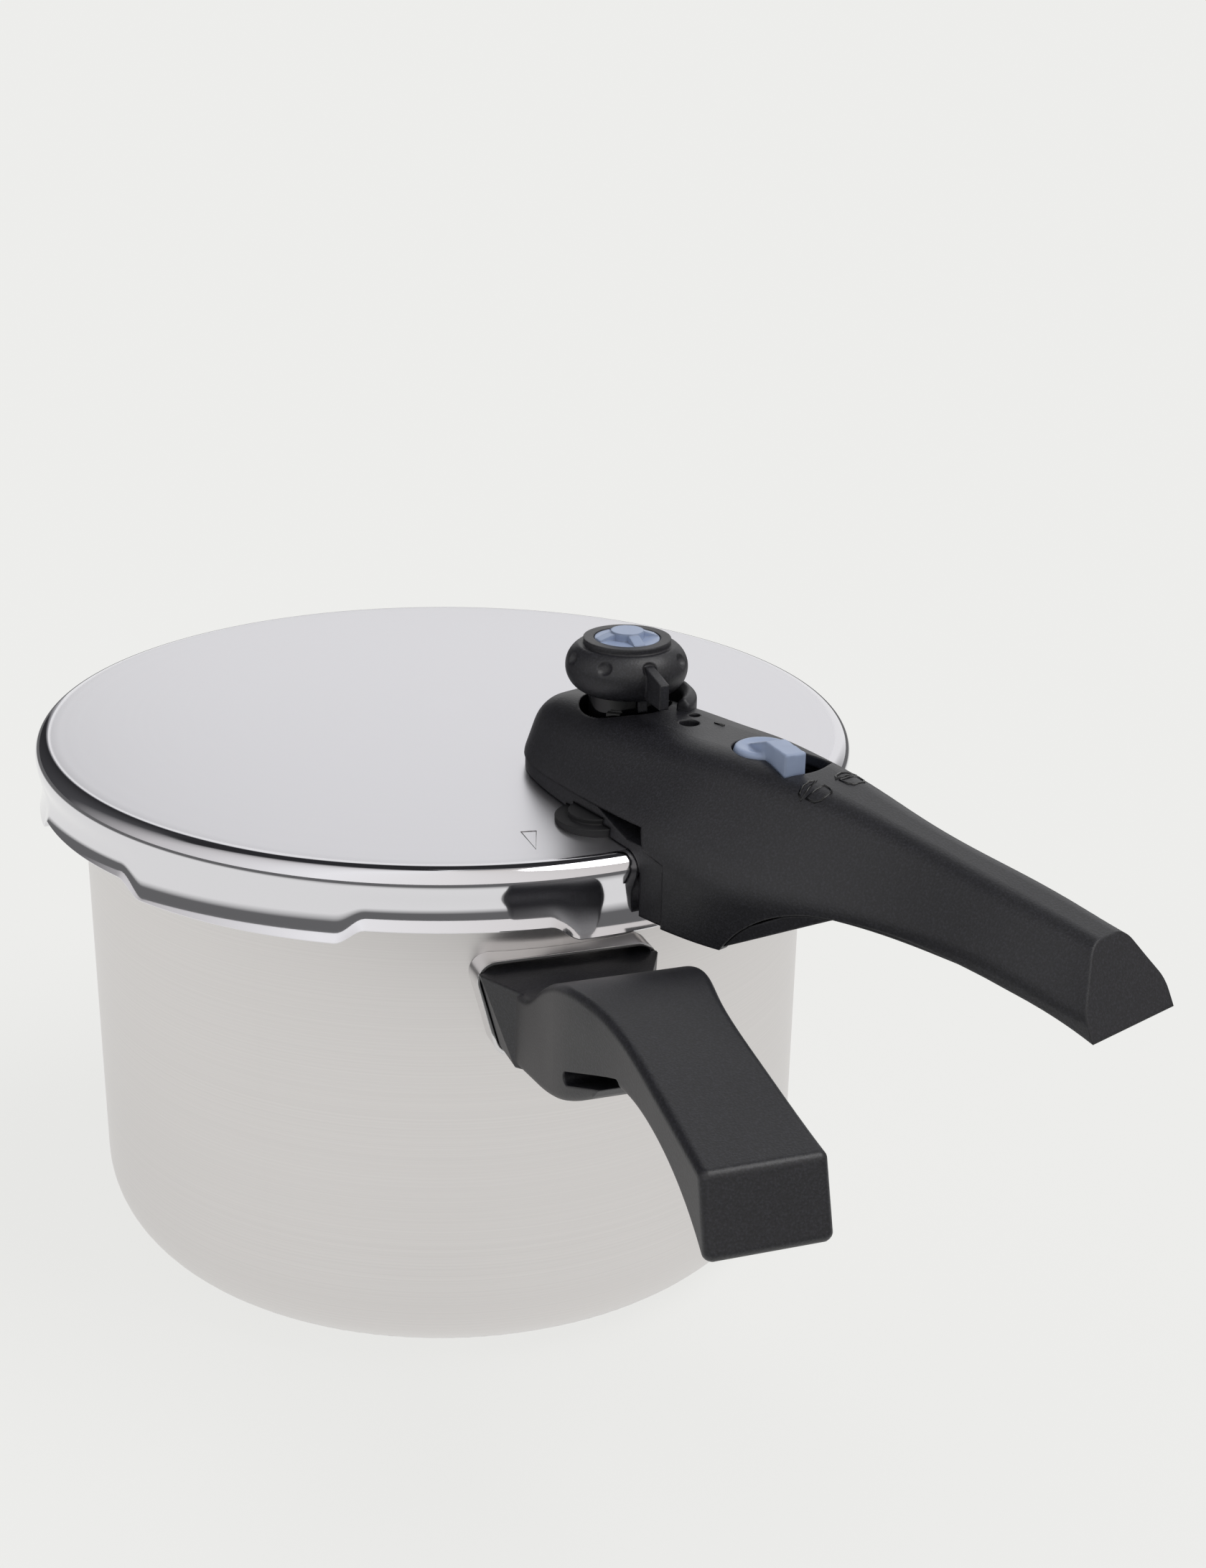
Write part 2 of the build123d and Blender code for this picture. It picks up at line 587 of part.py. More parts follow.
def lid_skin(drop):
    """Edges of the lid's skin from the axis over the bead to the skirt, a drop inside the outside."""
    radius = BEAD_RADIUS - drop
    skirt = SKIRT_RADIUS - drop
    foot = BEAD_CENTRE_Z - sqrt(radius ** 2 - (skirt - BEAD_CENTRE_R) ** 2)
    edge_z = dome_z(BEAD_CENTRE_R, drop)
    half_way = BEAD_CENTRE_R / 2
    dome = ThreePointArc((0, dome_z(0, drop)), (half_way, dome_z(half_way, drop)), (BEAD_CENTRE_R, edge_z))
    bead = ThreePointArc((BEAD_CENTRE_R, edge_z), (BEAD_CENTRE_R + radius, BEAD_CENTRE_Z), (skirt, foot))
    return dome, bead, (skirt, foot)


def lid_gap_cutter():
    """Prism that clears one gap between two lid lugs."""
    half = SKIRT_RADIUS * sin(radians(LID_GAP_ANGLE / 2))
    low = LIP_LOW_Z - 4 * LID_LUG_STEP
    wide = half + LID_LUG_STEP
    high = LIP_LOW_Z + LID_LUG_STEP
    points = [
        (-wide, low), (-wide, LIP_LOW_Z), (-half, LIP_LOW_Z), (-half, high),
        (half, high), (half, LIP_LOW_Z), (wide, LIP_LOW_Z), (wide, low),
    ]
    face = make_face(FilletPolyline(*points, radius=LID_LUG_ROUND, close=True))
    prism = extrude(Plane.YZ.offset(LIP_RADIUS - PAN_LUG_WIDTH) * face, 3 * PAN_LUG_WIDTH)
    return Rot(0, 0, LID_GAP_CENTRE) * prism


def lid_shell():
    dome, bead, foot = lid_skin(0)
    inner_dome, inner_bead, inner_foot = lid_skin(LID_WALL)
    skirt = Polyline(
        foot, (SKIRT_RADIUS, LIP_LOW_Z), (LIP_RADIUS, LIP_LOW_Z), (LIP_RADIUS, LIP_LOW_Z + LID_WALL),
        (inner_foot[0], LIP_LOW_Z + LID_WALL), inner_foot
    )
    axis = Line((0, dome_z(0, LID_WALL)), (0, LID_TOP_Z))
    shell = revolve(side_face([dome, bead, *skirt.edges(), inner_bead, inner_dome, axis]), Axis.Z)
    shell -= around(lid_gap_cutter(), LUG_COUNT)
    holes = [
        rod(VENT_RADIUS, RIM_HEIGHT, HANDLE_HIGH, VENT_X),
        rod(PLUG_STEM, RIM_HEIGHT, HANDLE_HIGH, PLUG_X, PLUG_Y),
        rod(INDICATOR_RADIUS + INDICATOR_GAP + SEAL_WALL, RIM_HEIGHT, HANDLE_HIGH, INDICATOR_X),
    ]
    return shell - [to_lid_handle(hole) for hole in holes]


def lid_envelope(grow):
    """Solid of everything under the lid's skin, grown by a gap, for pieces that sit over the rim."""
    dome, bead, foot = lid_skin(-grow)
    close = Polyline(foot, (foot[0], 0), (0, 0), (0, dome_z(0, -grow)))
    return revolve(side_face([dome, bead, *close.edges()]), Axis.Z)


def sealing_ring():
    low = RIM_HEIGHT + RING_CLEARANCE
    high = low + RING_HEIGHT
    inner = PAN_RADIUS - PAN_WALL + RING_OVERLAP
    outer = SKIRT_RADIUS - LID_WALL - RING_SIDE_CLEARANCE
    lip = low + RING_LIP
    upper_lip = high - RING_LIP
    groove = inner + 2 * RING_LIP
    points = [
        (inner, low), (outer, low), (outer, BEAD_CENTRE_Z - RING_SHOULDER),
        (BEAD_CENTRE_R - RING_OVERLAP, high), (inner, high), (inner, upper_lip),
        (groove, upper_lip), (groove, lip), (inner, lip),
    ]
    return revolve(side_face(Polyline(*points, close=True)), Axis.Z)


# Lid handle
def handle_section(place, inset):
    """Rounded section of the lid handle at one place, drawn in by an inset."""
    out, knee_half, knee_up, top_half, top_up = place
    knee_z = LID_TOP_Z + knee_up
    top_z = LID_TOP_Z + top_up
    half = knee_half - inset
    top = top_half - 0.6 * inset
    low = HANDLE_LOW - inset
    crown = top_z - inset
    points = [(-half, low), (half, low), (half, knee_z), (top, crown), (-top, crown), (-half, knee_z)]
    face = make_face(Polyline(*points, close=True))
    knees = face.vertices().sort_by(Axis.Y)[2:4]
    face = fillet(knees, 0.5 * half)
    tops = face.vertices().sort_by(Axis.Y)[-2:]
    return Plane.YZ.offset(SKIRT_RADIUS + out) * fillet(tops, 1.1 * top)


def handle_form(inset):
    """Smooth body through the handle's sections."""
    return loft([handle_section(place, inset) for place in HANDLE_SECTIONS])


def shell_edge():
    """Lower edge of the handle shell from the nose to the grip's end, in X and Z."""
    apron_end = (APRON_END_X, APRON_Z)
    arch_crown = (APRON_END_X + ARCH_CROWN_OUT, APRON_Z + ARCH_CROWN_UP)
    arch_end = (ARCH_END_X, GRIP_LOW_Z)
    grip_middle = (ARCH_END_X + GRIP_SWEEP, GRIP_LOW_Z + GRIP_SWEEP_UP)
    return [
        Polyline(
            (0, SEAM_Z), (SEAM_END_X, SEAM_Z), (SEAM_END_X + SEAM_DROP_OUT, SEAM_Z - SEAM_DROP),
            (RIM_EDGE_X, SEAM_Z - RIM_EDGE_DROP), (RIM_EDGE_X, APRON_Z), apron_end
        ),
        ThreePointArc(apron_end, arch_crown, arch_end),
        ThreePointArc(arch_end, grip_middle, (GRIP_END_X, GRIP_END_LOW_Z)),
    ]


def grip_end():
    """Everything beyond the grip's leaning end."""
    top = GRIP_END_X - GRIP_END_LEAN * (HANDLE_HIGH - GRIP_END_LOW_Z)
    foot = GRIP_END_X + GRIP_END_LEAN * GRIP_END_LOW_Z
    beyond = 2 * GRIP_END_X
    outline = [(foot, 0), (top, HANDLE_HIGH), (beyond, HANDLE_HIGH), (beyond, 0)]
    return side_prism(outline, 2 * TONGUE_HALF_WIDTH)


def below_edge(drop):
    """Everything below the shell's lower edge, or below a line a drop under it."""
    lowered = [Pos(0, -drop) * curve for curve in shell_edge()]
    far = 2 * GRIP_END_X
    last = (far, GRIP_END_LOW_Z - drop - GRIP_LOW_SLOPE * (far - GRIP_END_X))
    close = Polyline((GRIP_END_X, GRIP_END_LOW_Z - drop), last, (far, 0), (0, 0), (0, SEAM_Z - drop))
    edges = [edge for curve in [*lowered, close] for edge in curve.edges()]
    return extrude(Plane.XZ * make_face(edges), 2 * TONGUE_HALF_WIDTH, both=True)


def handle_cavity(inset):
    """Body inside the handle shell, short of its nose and of its solid end."""
    nose = slab(0, NOSE_X + inset, 2 * TONGUE_HALF_WIDTH, 0, HANDLE_HIGH)
    end = slab(GRIP_END_X - GRIP_FILL - inset, 2 * GRIP_END_X, 2 * TONGUE_HALF_WIDTH, 0, HANDLE_HIGH)
    return handle_form(inset) - nose - end


def lock_slot():
    """Round hole for the lever's pad, open to the sector that its lug swings through."""
    half = LUG_HALF_WIDTH + LOCK_GAP
    reach = LUG_REACH + LOCK_GAP
    turn = radians(LOCK_SWING / 2)
    root = (-half * sin(turn), half * cos(turn))
    corner = (reach * cos(turn) + root[0], reach * sin(turn) + root[1])
    end = ThreePointArc((corner[0], -corner[1]), (sqrt(reach ** 2 + half ** 2), 0), corner)
    sides = Polyline(corner, root, (root[0], -root[1]), (corner[0], -corner[1]))
    low = LOCK_WEB_Z + LOCK_WEB_THICKNESS
    sector = extrude(Pos(LOCK_X, 0, low) * make_face([end, *sides.edges()]), HANDLE_HIGH - low)
    return sector + rod(LOCK_RADIUS + LOCK_GAP, low, HANDLE_HIGH, LOCK_X)


def lock_web(form):
    """Bridge inside the shell that the lever's stem turns in."""
    start = LOCK_X - LOCK_WEB_HALF_LENGTH
    end = LOCK_X + LOCK_WEB_HALF_LENGTH
    top = LOCK_WEB_Z + LOCK_WEB_THICKNESS
    return slab(start, end, 2 * TONGUE_HALF_WIDTH, LOCK_WEB_Z, top) & form


def screw_bosses(form):
    """Posts inside the shell that the handle's screws go into."""
    radius = HANDLE_SCREW_RADIUS + BOSS_WALL
    small = COVER_SCREW_RADIUS + BOSS_WALL - LID_GAP
    posts = [
        rod(radius, TONGUE_TOP_Z, HANDLE_HIGH, HANDLE_SCREW_X, HANDLE_SCREW_Y),
        rod(radius, TONGUE_TOP_Z, HANDLE_HIGH, HANDLE_SCREW_X, -HANDLE_SCREW_Y),
        rod(small, SEAM_Z, HANDLE_HIGH, NOSE_SCREW_X),
        rod(small, GRIP_LOW_Z + BASE_PLATE, HANDLE_HIGH, GRIP_SCREW_X),
    ]
    return [post & form for post in posts]


def screw_bores(clearance, head_clearance):
    """Bores of the four handle screws, with their heads below."""
    bores = []
    for y in (-HANDLE_SCREW_Y, HANDLE_SCREW_Y):
        bores.append(rod(HANDLE_SCREW_RADIUS + clearance, HANDLE_HEAD_Z, HANDLE_SCREW_END_Z, HANDLE_SCREW_X, y))
        bores.append(rod(2 * HANDLE_SCREW_RADIUS + head_clearance, APRON_Z, HANDLE_HEAD_Z, HANDLE_SCREW_X, y))
    for x, head_z in ((NOSE_SCREW_X, nose_head_z()), (GRIP_SCREW_X, grip_head_z())):
        bores.append(rod(COVER_SCREW_RADIUS + clearance, head_z, head_z + COVER_SCREW_LENGTH, x))
        bores.append(rod(2 * COVER_SCREW_RADIUS + head_clearance, head_z - HEAD_HEIGHT, head_z, x))
    return bores


def nose_head_z():
    """Upper face of the nose screw's head, just over the lid."""
    return dome_z(NOSE_SCREW_X) + LID_GAP + HEAD_HEIGHT + SEAM_GAP


def grip_head_z():
    """Upper face of the grip screw's head, inside the lower cover."""
    return GRIP_LOW_Z + HEAD_RECESS


def lid_handle_shell():
    shell = handle_form(0) - grip_end() - handle_cavity(HANDLE_WALL) - below_edge(0)
    half_deep = handle_form(HANDLE_WALL / 2)
    shell += screw_bosses(half_deep)
    shell += lock_web(half_deep)
    shell -= rod(VALVE_HOLE, SEAM_Z, HANDLE_HIGH, VENT_X)
    shell -= rod(INDICATOR_HOLE, SEAM_Z, HANDLE_HIGH, INDICATOR_X)
    shell -= rod(STEAM_HOLE, SEAM_Z, HANDLE_HIGH, INDICATOR_X - STEAM_HOLE_IN, STEAM_HOLE_Y)
    shell -= lock_slot()
    shell -= rod(LOCK_STEM_RADIUS + RUNNING_GAP, CAM_Z, HANDLE_HIGH, LOCK_X)
    shell -= screw_bores(0, 0)
    return to_lid_handle(shell.solids().sort_by(SortBy.VOLUME)[-1])


def base_side():
    """Side outline of the lower cover: nose plate, rim wall, apron floor and grip plate."""
    seam = SEAM_Z - SEAM_GAP
    strip_x = SEAM_END_X - SEAM_END_IN
    strip_z = dome_z(strip_x) + LID_GAP + STRIP_HEIGHT
    floor = APRON_Z + FLOOR_UP
    mid_x = ARCH_END_X + GRIP_PLATE_MID
    mid_z = GRIP_LOW_Z - GRIP_PLATE_SAG
    end_z = GRIP_END_LOW_Z + GRIP_PLATE_UP
    low = [
        (NOSE_X, floor), (APRON_END_X, floor), (ARCH_END_X + BASE_PLATE, GRIP_LOW_Z), (mid_x, mid_z),
        (GRIP_END_X, end_z)
    ]
    high = [
        (GRIP_END_X, end_z + BASE_PLATE), (mid_x, mid_z + BASE_PLATE), (ARCH_END_X, GRIP_LOW_Z + BASE_PLATE),
        (APRON_END_X - FLOOR_UP, floor + BASE_PLATE), (RIM_EDGE_X, floor + BASE_PLATE), (RIM_EDGE_X, strip_z),
        (strip_x, strip_z), (WINDOW_X, seam), (NOSE_X, seam)
    ]
    return side_prism(low + high, 2 * TONGUE_HALF_WIDTH)


def lid_handle_base():
    side = base_side()
    inside = handle_cavity(HANDLE_WALL + SEAM_GAP)
    outside = handle_form(SIDE_INSET) & below_edge(SEAM_GAP)
    base = (side & inside) + (side & outside)
    for y in (-HANDLE_SCREW_Y, HANDLE_SCREW_Y):
        base += rod(HANDLE_SCREW_RADIUS + BOSS_WALL, APRON_Z + BASE_PLATE, TONGUE_Z, HANDLE_SCREW_X, y)
    base -= rod(WASHER_RADIUS + 2 * LID_GAP, RIM_HEIGHT, HANDLE_HIGH, VENT_X)
    base -= rod(PLUG_RADIUS + LID_GAP, RIM_HEIGHT, plug_seat_z() + PLUG_RIM_HEIGHT + LID_GAP, PLUG_X, PLUG_Y)
    base -= rod(PLUG_TOP_RADIUS + LID_GAP, RIM_HEIGHT, plug_seat_z() + PLUG_HEIGHT + LID_GAP, PLUG_X, PLUG_Y)
    base -= rod(INDICATOR_RADIUS + INDICATOR_GAP + 3 * SEAL_WALL, RIM_HEIGHT, HANDLE_HIGH, INDICATOR_X)
    base -= slab(0, TONGUE_END_X + SEAM_GAP, TONGUE_HALF_WIDTH + SEAM_GAP, TONGUE_Z, TONGUE_TOP_Z)
    base -= rod(SKIRT_RADIUS + TONGUE_THICKNESS + SEAM_GAP, 0, BEAD_CENTRE_Z)
    base -= lid_envelope(LID_GAP)
    base -= screw_bores(SEAM_GAP, SEAM_GAP)
    base -= rod(2 * COVER_SCREW_RADIUS + SEAM_GAP, HANDLE_LOW, grip_head_z(), GRIP_SCREW_X)
    base -= rod(2 * COVER_SCREW_RADIUS + SEAM_GAP, HANDLE_LOW, nose_head_z(), NOSE_SCREW_X)
    return to_lid_handle(base.solids().sort_by(SortBy.VOLUME)[-1])


def lid_bracket():
    low = LIP_LOW_Z + LID_LUG_STEP + LID_WALL
    points = [
        (SKIRT_RADIUS, low), (SKIRT_RADIUS + TONGUE_THICKNESS, low),
        (SKIRT_RADIUS + TONGUE_THICKNESS, TONGUE_TOP_Z), (SKIRT_RADIUS, TONGUE_TOP_Z)
    ]
    plate = revolve(side_face(Polyline(*points, close=True)), Axis.Z, TONGUE_ANGLE)
    tongue = slab(SKIRT_RADIUS - LID_WALL, TONGUE_END_X, TONGUE_HALF_WIDTH, TONGUE_Z, TONGUE_TOP_Z)
    tongue -= rod(SKIRT_RADIUS, 0, HANDLE_HIGH)
    finger_x = LOCK_X + FINGER_OUT
    window = slab(finger_x - FINGER_ROOM, finger_x + FINGER_ROOM, FINGER_OUT, APRON_Z, HANDLE_HIGH)
    hole = HANDLE_SCREW_RADIUS + SEAM_GAP
    holes = [rod(hole, APRON_Z, HANDLE_HIGH, HANDLE_SCREW_X, side * HANDLE_SCREW_Y) for side in (-1, 1)]
    return to_lid_handle(Rot(0, 0, -TONGUE_ANGLE / 2) * plate + tongue - window - holes)


def screw(radius, head_z, length, x, y):
    """Pan-headed screw, head down, with a cross slot."""
    head = rod(2 * radius, head_z - HEAD_HEIGHT, head_z, x, y)
    slot = Pos(x, y, head_z - HEAD_HEIGHT) * Box(3 * radius, DRIVER_SLOT, HEAD_HEIGHT, align=Align.CENTER)
    cross = Pos(x, y, head_z - HEAD_HEIGHT) * Box(DRIVER_SLOT, 3 * radius, HEAD_HEIGHT, align=Align.CENTER)
    return rod(radius, head_z, head_z + length, x, y) + head - slot - cross


def lid_handle_screws():
    length = HANDLE_SCREW_END_Z - HANDLE_HEAD_Z
    places = [(HANDLE_SCREW_X, side * HANDLE_SCREW_Y) for side in (-1, 1)]
    pair = [screw(HANDLE_SCREW_RADIUS, HANDLE_HEAD_Z, length, x, y) for x, y in places]
    return Compound([to_lid_handle(piece).solid() for piece in pair])


def cover_screws():
    places = ((NOSE_SCREW_X, nose_head_z()), (GRIP_SCREW_X, grip_head_z()))
    pair = [screw(COVER_SCREW_RADIUS, head_z, COVER_SCREW_LENGTH, x, 0) for x, head_z in places]
    return Compound([to_lid_handle(piece).solid() for piece in pair])


# Vent and safety fittings, each cut to the lid it sits on
def washer_top_z():
    return dome_z(VENT_X - WASHER_RADIUS) + WASHER_HEIGHT


def vent_washer():
    top = washer_top_z()
    washer = rod(WASHER_RADIUS, RIM_HEIGHT, top) - rod(VENT_RADIUS, RIM_HEIGHT, top)
    return to_valve(washer) - lid_envelope(0)


def vent_pipe():
    tail = dome_z(VENT_X, LID_WALL) - VENT_TAIL
    flange = hexagon(VENT_FLANGE, washer_top_z(), washer_top_z() + VENT_FLANGE_HEIGHT, VENT_X)
    pipe = rod(VENT_RADIUS, tail, VENT_TOP_Z, VENT_X) + flange
    return to_lid_handle(pipe - rod(VENT_BORE, tail, VENT_TOP_Z, VENT_X))


def vent_nut(lid):
    low = dome_z(VENT_X, LID_WALL) - NUT_HEIGHT
    nut = hexagon(VENT_FLANGE, low, HANDLE_HIGH, VENT_X) - rod(VENT_RADIUS, low, HANDLE_HIGH, VENT_X)
    return (to_lid_handle(nut) & (lid_envelope(0) - lid)).solids().sort_by(Axis.Z)[0]


def vent_shield():
    high = dome_z(VENT_X, LID_WALL) - NUT_HEIGHT
    low = high - SHIELD_HEIGHT
    cup = rod(SHIELD_RADIUS, low, high)
    cup -= rod(SHIELD_RADIUS - SHIELD_WALL, low + SHIELD_WALL, high - SHIELD_WALL)
    cup -= rod(VENT_RADIUS, high - SHIELD_HEIGHT / 2, high)
    hole = Pos(0, 0, low + SHIELD_HEIGHT / 2) * (Rot(0, 90, 0) * Cylinder(SHIELD_HOLE, 3 * SHIELD_RADIUS))
    return to_valve(cup - around(hole, 2 * SHIELD_HOLE_PAIRS)[:SHIELD_HOLE_PAIRS])


def plug_seat_z():
    """Height of the lid's top at the safety plug's axis."""
    return dome_z(sqrt(PLUG_X ** 2 + PLUG_Y ** 2))


def safety_plug(lid):
    seat = plug_seat_z()
    plug = rod(PLUG_RADIUS, seat - PLUG_HEIGHT, seat + PLUG_RIM_HEIGHT, PLUG_X, PLUG_Y)
    plug += rod(PLUG_TOP_RADIUS, seat, seat + PLUG_HEIGHT, PLUG_X, PLUG_Y)
    above = to_lid_handle(plug) - lid_envelope(0)
    low = seat - LID_WALL - PLUG_FLANGE_HEIGHT
    below = to_lid_handle(rod(PLUG_FLANGE, low, seat, PLUG_X, PLUG_Y)) & (lid_envelope(0) - lid)
    stem = to_lid_handle(rod(PLUG_STEM, low, seat + PLUG_RIM_HEIGHT, PLUG_X, PLUG_Y))
    return above + below + stem


def indicator_seal(lid):
    seat = dome_z(INDICATOR_X)
    bore = INDICATOR_RADIUS + INDICATOR_GAP
    flange = bore + 2 * SEAL_WALL
    above = to_lid_handle(rod(flange, seat - SEAL_WALL, seat + SEAL_WALL, INDICATOR_X)) - lid_envelope(0)
    below = to_lid_handle(rod(flange, seat - LID_WALL - SEAL_WALL, seat, INDICATOR_X)) & (lid_envelope(0) - lid)
    neck = to_lid_handle(rod(bore + SEAL_WALL, seat - LID_WALL - SEAL_WALL, seat + SEAL_WALL, INDICATOR_X))
    return above + below + neck - to_lid_handle(rod(bore, RIM_HEIGHT, HANDLE_HIGH, INDICATOR_X))


def indicator_pin():
    seal_low = dome_z(INDICATOR_X) - LID_WALL - SEAL_WALL
    foot_high = seal_low - INDICATOR_LIFT - INDICATOR_GAP
    foot = rod(INDICATOR_RADIUS + SEAL_WALL, foot_high - SEAL_WALL, foot_high, INDICATOR_X)
    stop_z = dome_z(INDICATOR_X) + SEAL_WALL + INDICATOR_GAP
    collar = rod(INDICATOR_RADIUS + SEAL_WALL, stop_z, stop_z + SEAL_WALL, INDICATOR_X)
    return to_lid_handle(rod(INDICATOR_RADIUS, foot_high, INDICATOR_TOP_Z, INDICATOR_X) + foot + collar)


# Pressure valve, drawn about its own axis
def to_valve(shape):
    return to_lid_handle(Pos(VENT_X, 0, 0) * shape)


def valve_collar():
    collar = rod(COLLAR_RADIUS, COLLAR_Z, KNOB_Z)
    tab_end = COLLAR_RADIUS + COLLAR_TAB
    tab = slab(VENT_RADIUS, tab_end, COLLAR_TAB_HALF_WIDTH, COLLAR_Z, COLLAR_Z + COLLAR_TAB_HEIGHT)
    collar += around(Rot(0, 0, 180 / COLLAR_TAB_COUNT) * tab, COLLAR_TAB_COUNT)
    collar -= rod(VENT_RADIUS + RUNNING_GAP, COLLAR_Z, KNOB_Z)
    return to_valve(collar - rod(VALVE_CHAMBER, NEEDLE_Z, KNOB_Z))


def valve_fin():
    """Pointer on the knob's side, with a rib that reaches down beside the collar."""
    root = CAP_RADIUS + 2 * CAP_GAP
    rib = COLLAR_RADIUS + LOCK_GAP
    low = KNOB_Z + FIN_LOW_UP
    rib_low = COLLAR_Z + COLLAR_TAB_HEIGHT + LOCK_GAP
    outline = [
        (root, KNOB_Z), (rib, KNOB_Z), (rib, rib_low), (rib + FIN_RIB, rib_low), (rib + FIN_RIB, low),
        (FIN_REACH, low), (FIN_REACH, KNOB_Z + FIN_END_HEIGHT), (root, KNOB_Z + FIN_ROOT_HEIGHT)
    ]
    return Rot(0, 0, FIN_ANGLE) * side_prism(outline, FIN_WIDTH / 2)


def valve_knob():
    shoulder = KNOB_TOP_Z - KNOB_RIM_HEIGHT
    edge = KNOB_RIM_RADIUS + KNOB_RIM_STEP
    well = CAP_RADIUS + CAP_GAP
    widest = (KNOB_RADIUS, KNOB_Z + KNOB_WIDEST_UP)
    bulge = ThreePointArc((KNOB_FOOT_RADIUS, KNOB_Z), widest, (edge, shoulder))
    outline = Polyline(
        (edge, shoulder), (KNOB_RIM_RADIUS, shoulder), (KNOB_RIM_RADIUS, KNOB_TOP_Z), (well, KNOB_TOP_Z),
        (well, CAP_FLOOR_Z), (0, CAP_FLOOR_Z), (0, CHAMBER_TOP_Z), (VALVE_CHAMBER, CHAMBER_TOP_Z),
        (VALVE_CHAMBER, KNOB_Z), (KNOB_FOOT_RADIUS, KNOB_Z)
    )
    knob = revolve(side_face([bulge, *outline.edges()]), Axis.Z)
    reach = bulge.radius + DIMPLE_RADIUS - DIMPLE_DEPTH
    across = bulge.arc_center.X + reach * cos(radians(DIMPLE_TILT))
    height = bulge.arc_center.Y + reach * sin(radians(DIMPLE_TILT))
    ball = Pos(across, 0, height) * Sphere(DIMPLE_RADIUS)
    knob -= around(Rot(0, 0, FIN_ANGLE) * ball, DIMPLE_COUNT)
    return to_valve(knob + valve_fin())


def valve_cap():
    cap = rod(CAP_RADIUS, CAP_FLOOR_Z, KNOB_TOP_Z - CAP_PLATE_DOWN)
    cap += rod(CAP_HUB_RADIUS, CAP_FLOOR_Z, KNOB_TOP_Z + CAP_PROUD)
    end = CAP_RADIUS - CAP_GAP
    outline = [
        (0, CAP_FLOOR_Z), (end, CAP_FLOOR_Z), (end, KNOB_TOP_Z + SPOKE_END_PROUD),
        (CAP_HUB_RADIUS, KNOB_TOP_Z + SPOKE_PROUD), (0, KNOB_TOP_Z + SPOKE_PROUD)
    ]
    spoke = side_prism(outline, SPOKE_WIDTH / 2)
    return to_valve(cap + around(Rot(0, 0, FIN_ANGLE) * spoke, SPOKE_COUNT))


def valve_needle():
    seat = SPRING_Z - SPRING_WIRE
    peg = SPRING_RADIUS - SPRING_WIRE - NEEDLE_PEG_GAP
    peg_top = SPRING_Z + NEEDLE_PEG_HEIGHT
    points = [
        (0, NEEDLE_Z), (VENT_BORE, NEEDLE_Z), (NEEDLE_RADIUS, NEEDLE_Z + NEEDLE_CONE), (NEEDLE_RADIUS, seat),
        (peg, seat), (peg, peg_top), (0, peg_top)
    ]
    return to_valve(revolve(side_face(Polyline(*points, close=True)), Axis.Z))


def biarc(start, start_way, end, end_way):
    """Two arcs that join two points and keep both directions."""
    gap = end - start
    ways = start_way + end_way
    spread = 2 * (1 - start_way.dot(end_way))
    reach = (sqrt(gap.dot(ways) ** 2 + spread * gap.dot(gap)) - gap.dot(ways)) / spread
    first = start + start_way * reach
    second = end - end_way * reach
    middle = (first + second) / 2
    return [TangentArc(start, middle, tangent=start_way), TangentArc(middle, end, tangent=second - first)]


def valve_spring():
    pitch = (CHAMBER_TOP_Z - SPRING_WIRE / 2 - SPRING_Z) / SPRING_TURNS
    rise = pitch / (2 * pi)

    def point(turn):
        return Vector(SPRING_RADIUS * cos(turn), SPRING_RADIUS * sin(turn), SPRING_Z + rise * turn)

    def way(turn):
        return Vector(-SPRING_RADIUS * sin(turn), SPRING_RADIUS * cos(turn), rise).normalized()

    edges = []
    for quarter in range(4 * SPRING_TURNS):
        start = quarter * pi / 2
        end = start + pi / 2
        edges += biarc(point(start), way(start), point(end), way(end))
    path = Wire([edge for curve in edges for edge in curve.edges()])
    section = Plane(point(0), z_dir=way(0)) * Circle(SPRING_WIRE / 2)
    return to_valve(sweep(section, path))


# Lid lock, drawn about its own pivot with the lug along X
def to_lock(shape):
    return to_lid_handle(Pos(LOCK_X, 0, 0) * Rot(0, 0, -LOCK_SWING / 2) * shape)


def lock_lever():
    """Round thumb pad with a lug that rises across it and points at the marks, on a round stem."""
    pad = rod(LOCK_RADIUS, LOCK_LOW_Z, LOCK_TOP_Z)
    pad = fillet(pad.faces().sort_by(Axis.Z)[-1].edges(), LOCK_ROUND)
    outline = [
        (-LUG_BACK, LOCK_LOW_Z), (-LUG_BACK, LOCK_TOP_Z), (LUG_SLOPE, LUG_TOP_Z), (LUG_REACH, LUG_TOP_Z),
        (LUG_REACH, LOCK_LOW_Z)
    ]
    lug = side_prism(outline, LUG_HALF_WIDTH)
    lug = fillet(lug.edges().filter_by(lambda edge: edge.center().Z > LOCK_TOP_Z), LUG_ROUND)
    stem = rod(LOCK_STEM_RADIUS, CAM_TOP_Z, LOCK_LOW_Z)
    return to_lock(pad + lug + stem - rod(RIVET_RADIUS, CAM_TOP_Z, LOCK_TOP_Z - LOCK_SKIN))


def lock_cam():
    """Plate under the lever with a finger that swings across behind the lid's tongue."""
    plate = rod(CAM_RADIUS, CAM_Z, CAM_TOP_Z)
    arm = slab(0, FINGER_OUT + CAM_THICKNESS / 2, FINGER_HALF_WIDTH, CAM_Z, CAM_TOP_Z)
    finger = slab(
        FINGER_OUT - CAM_THICKNESS / 2, FINGER_OUT + CAM_THICKNESS / 2, FINGER_HALF_WIDTH, FINGER_LOW_Z, CAM_Z
    )
    return to_lock(plate + arm + finger - rod(RIVET_RADIUS, CAM_Z, CAM_TOP_Z))


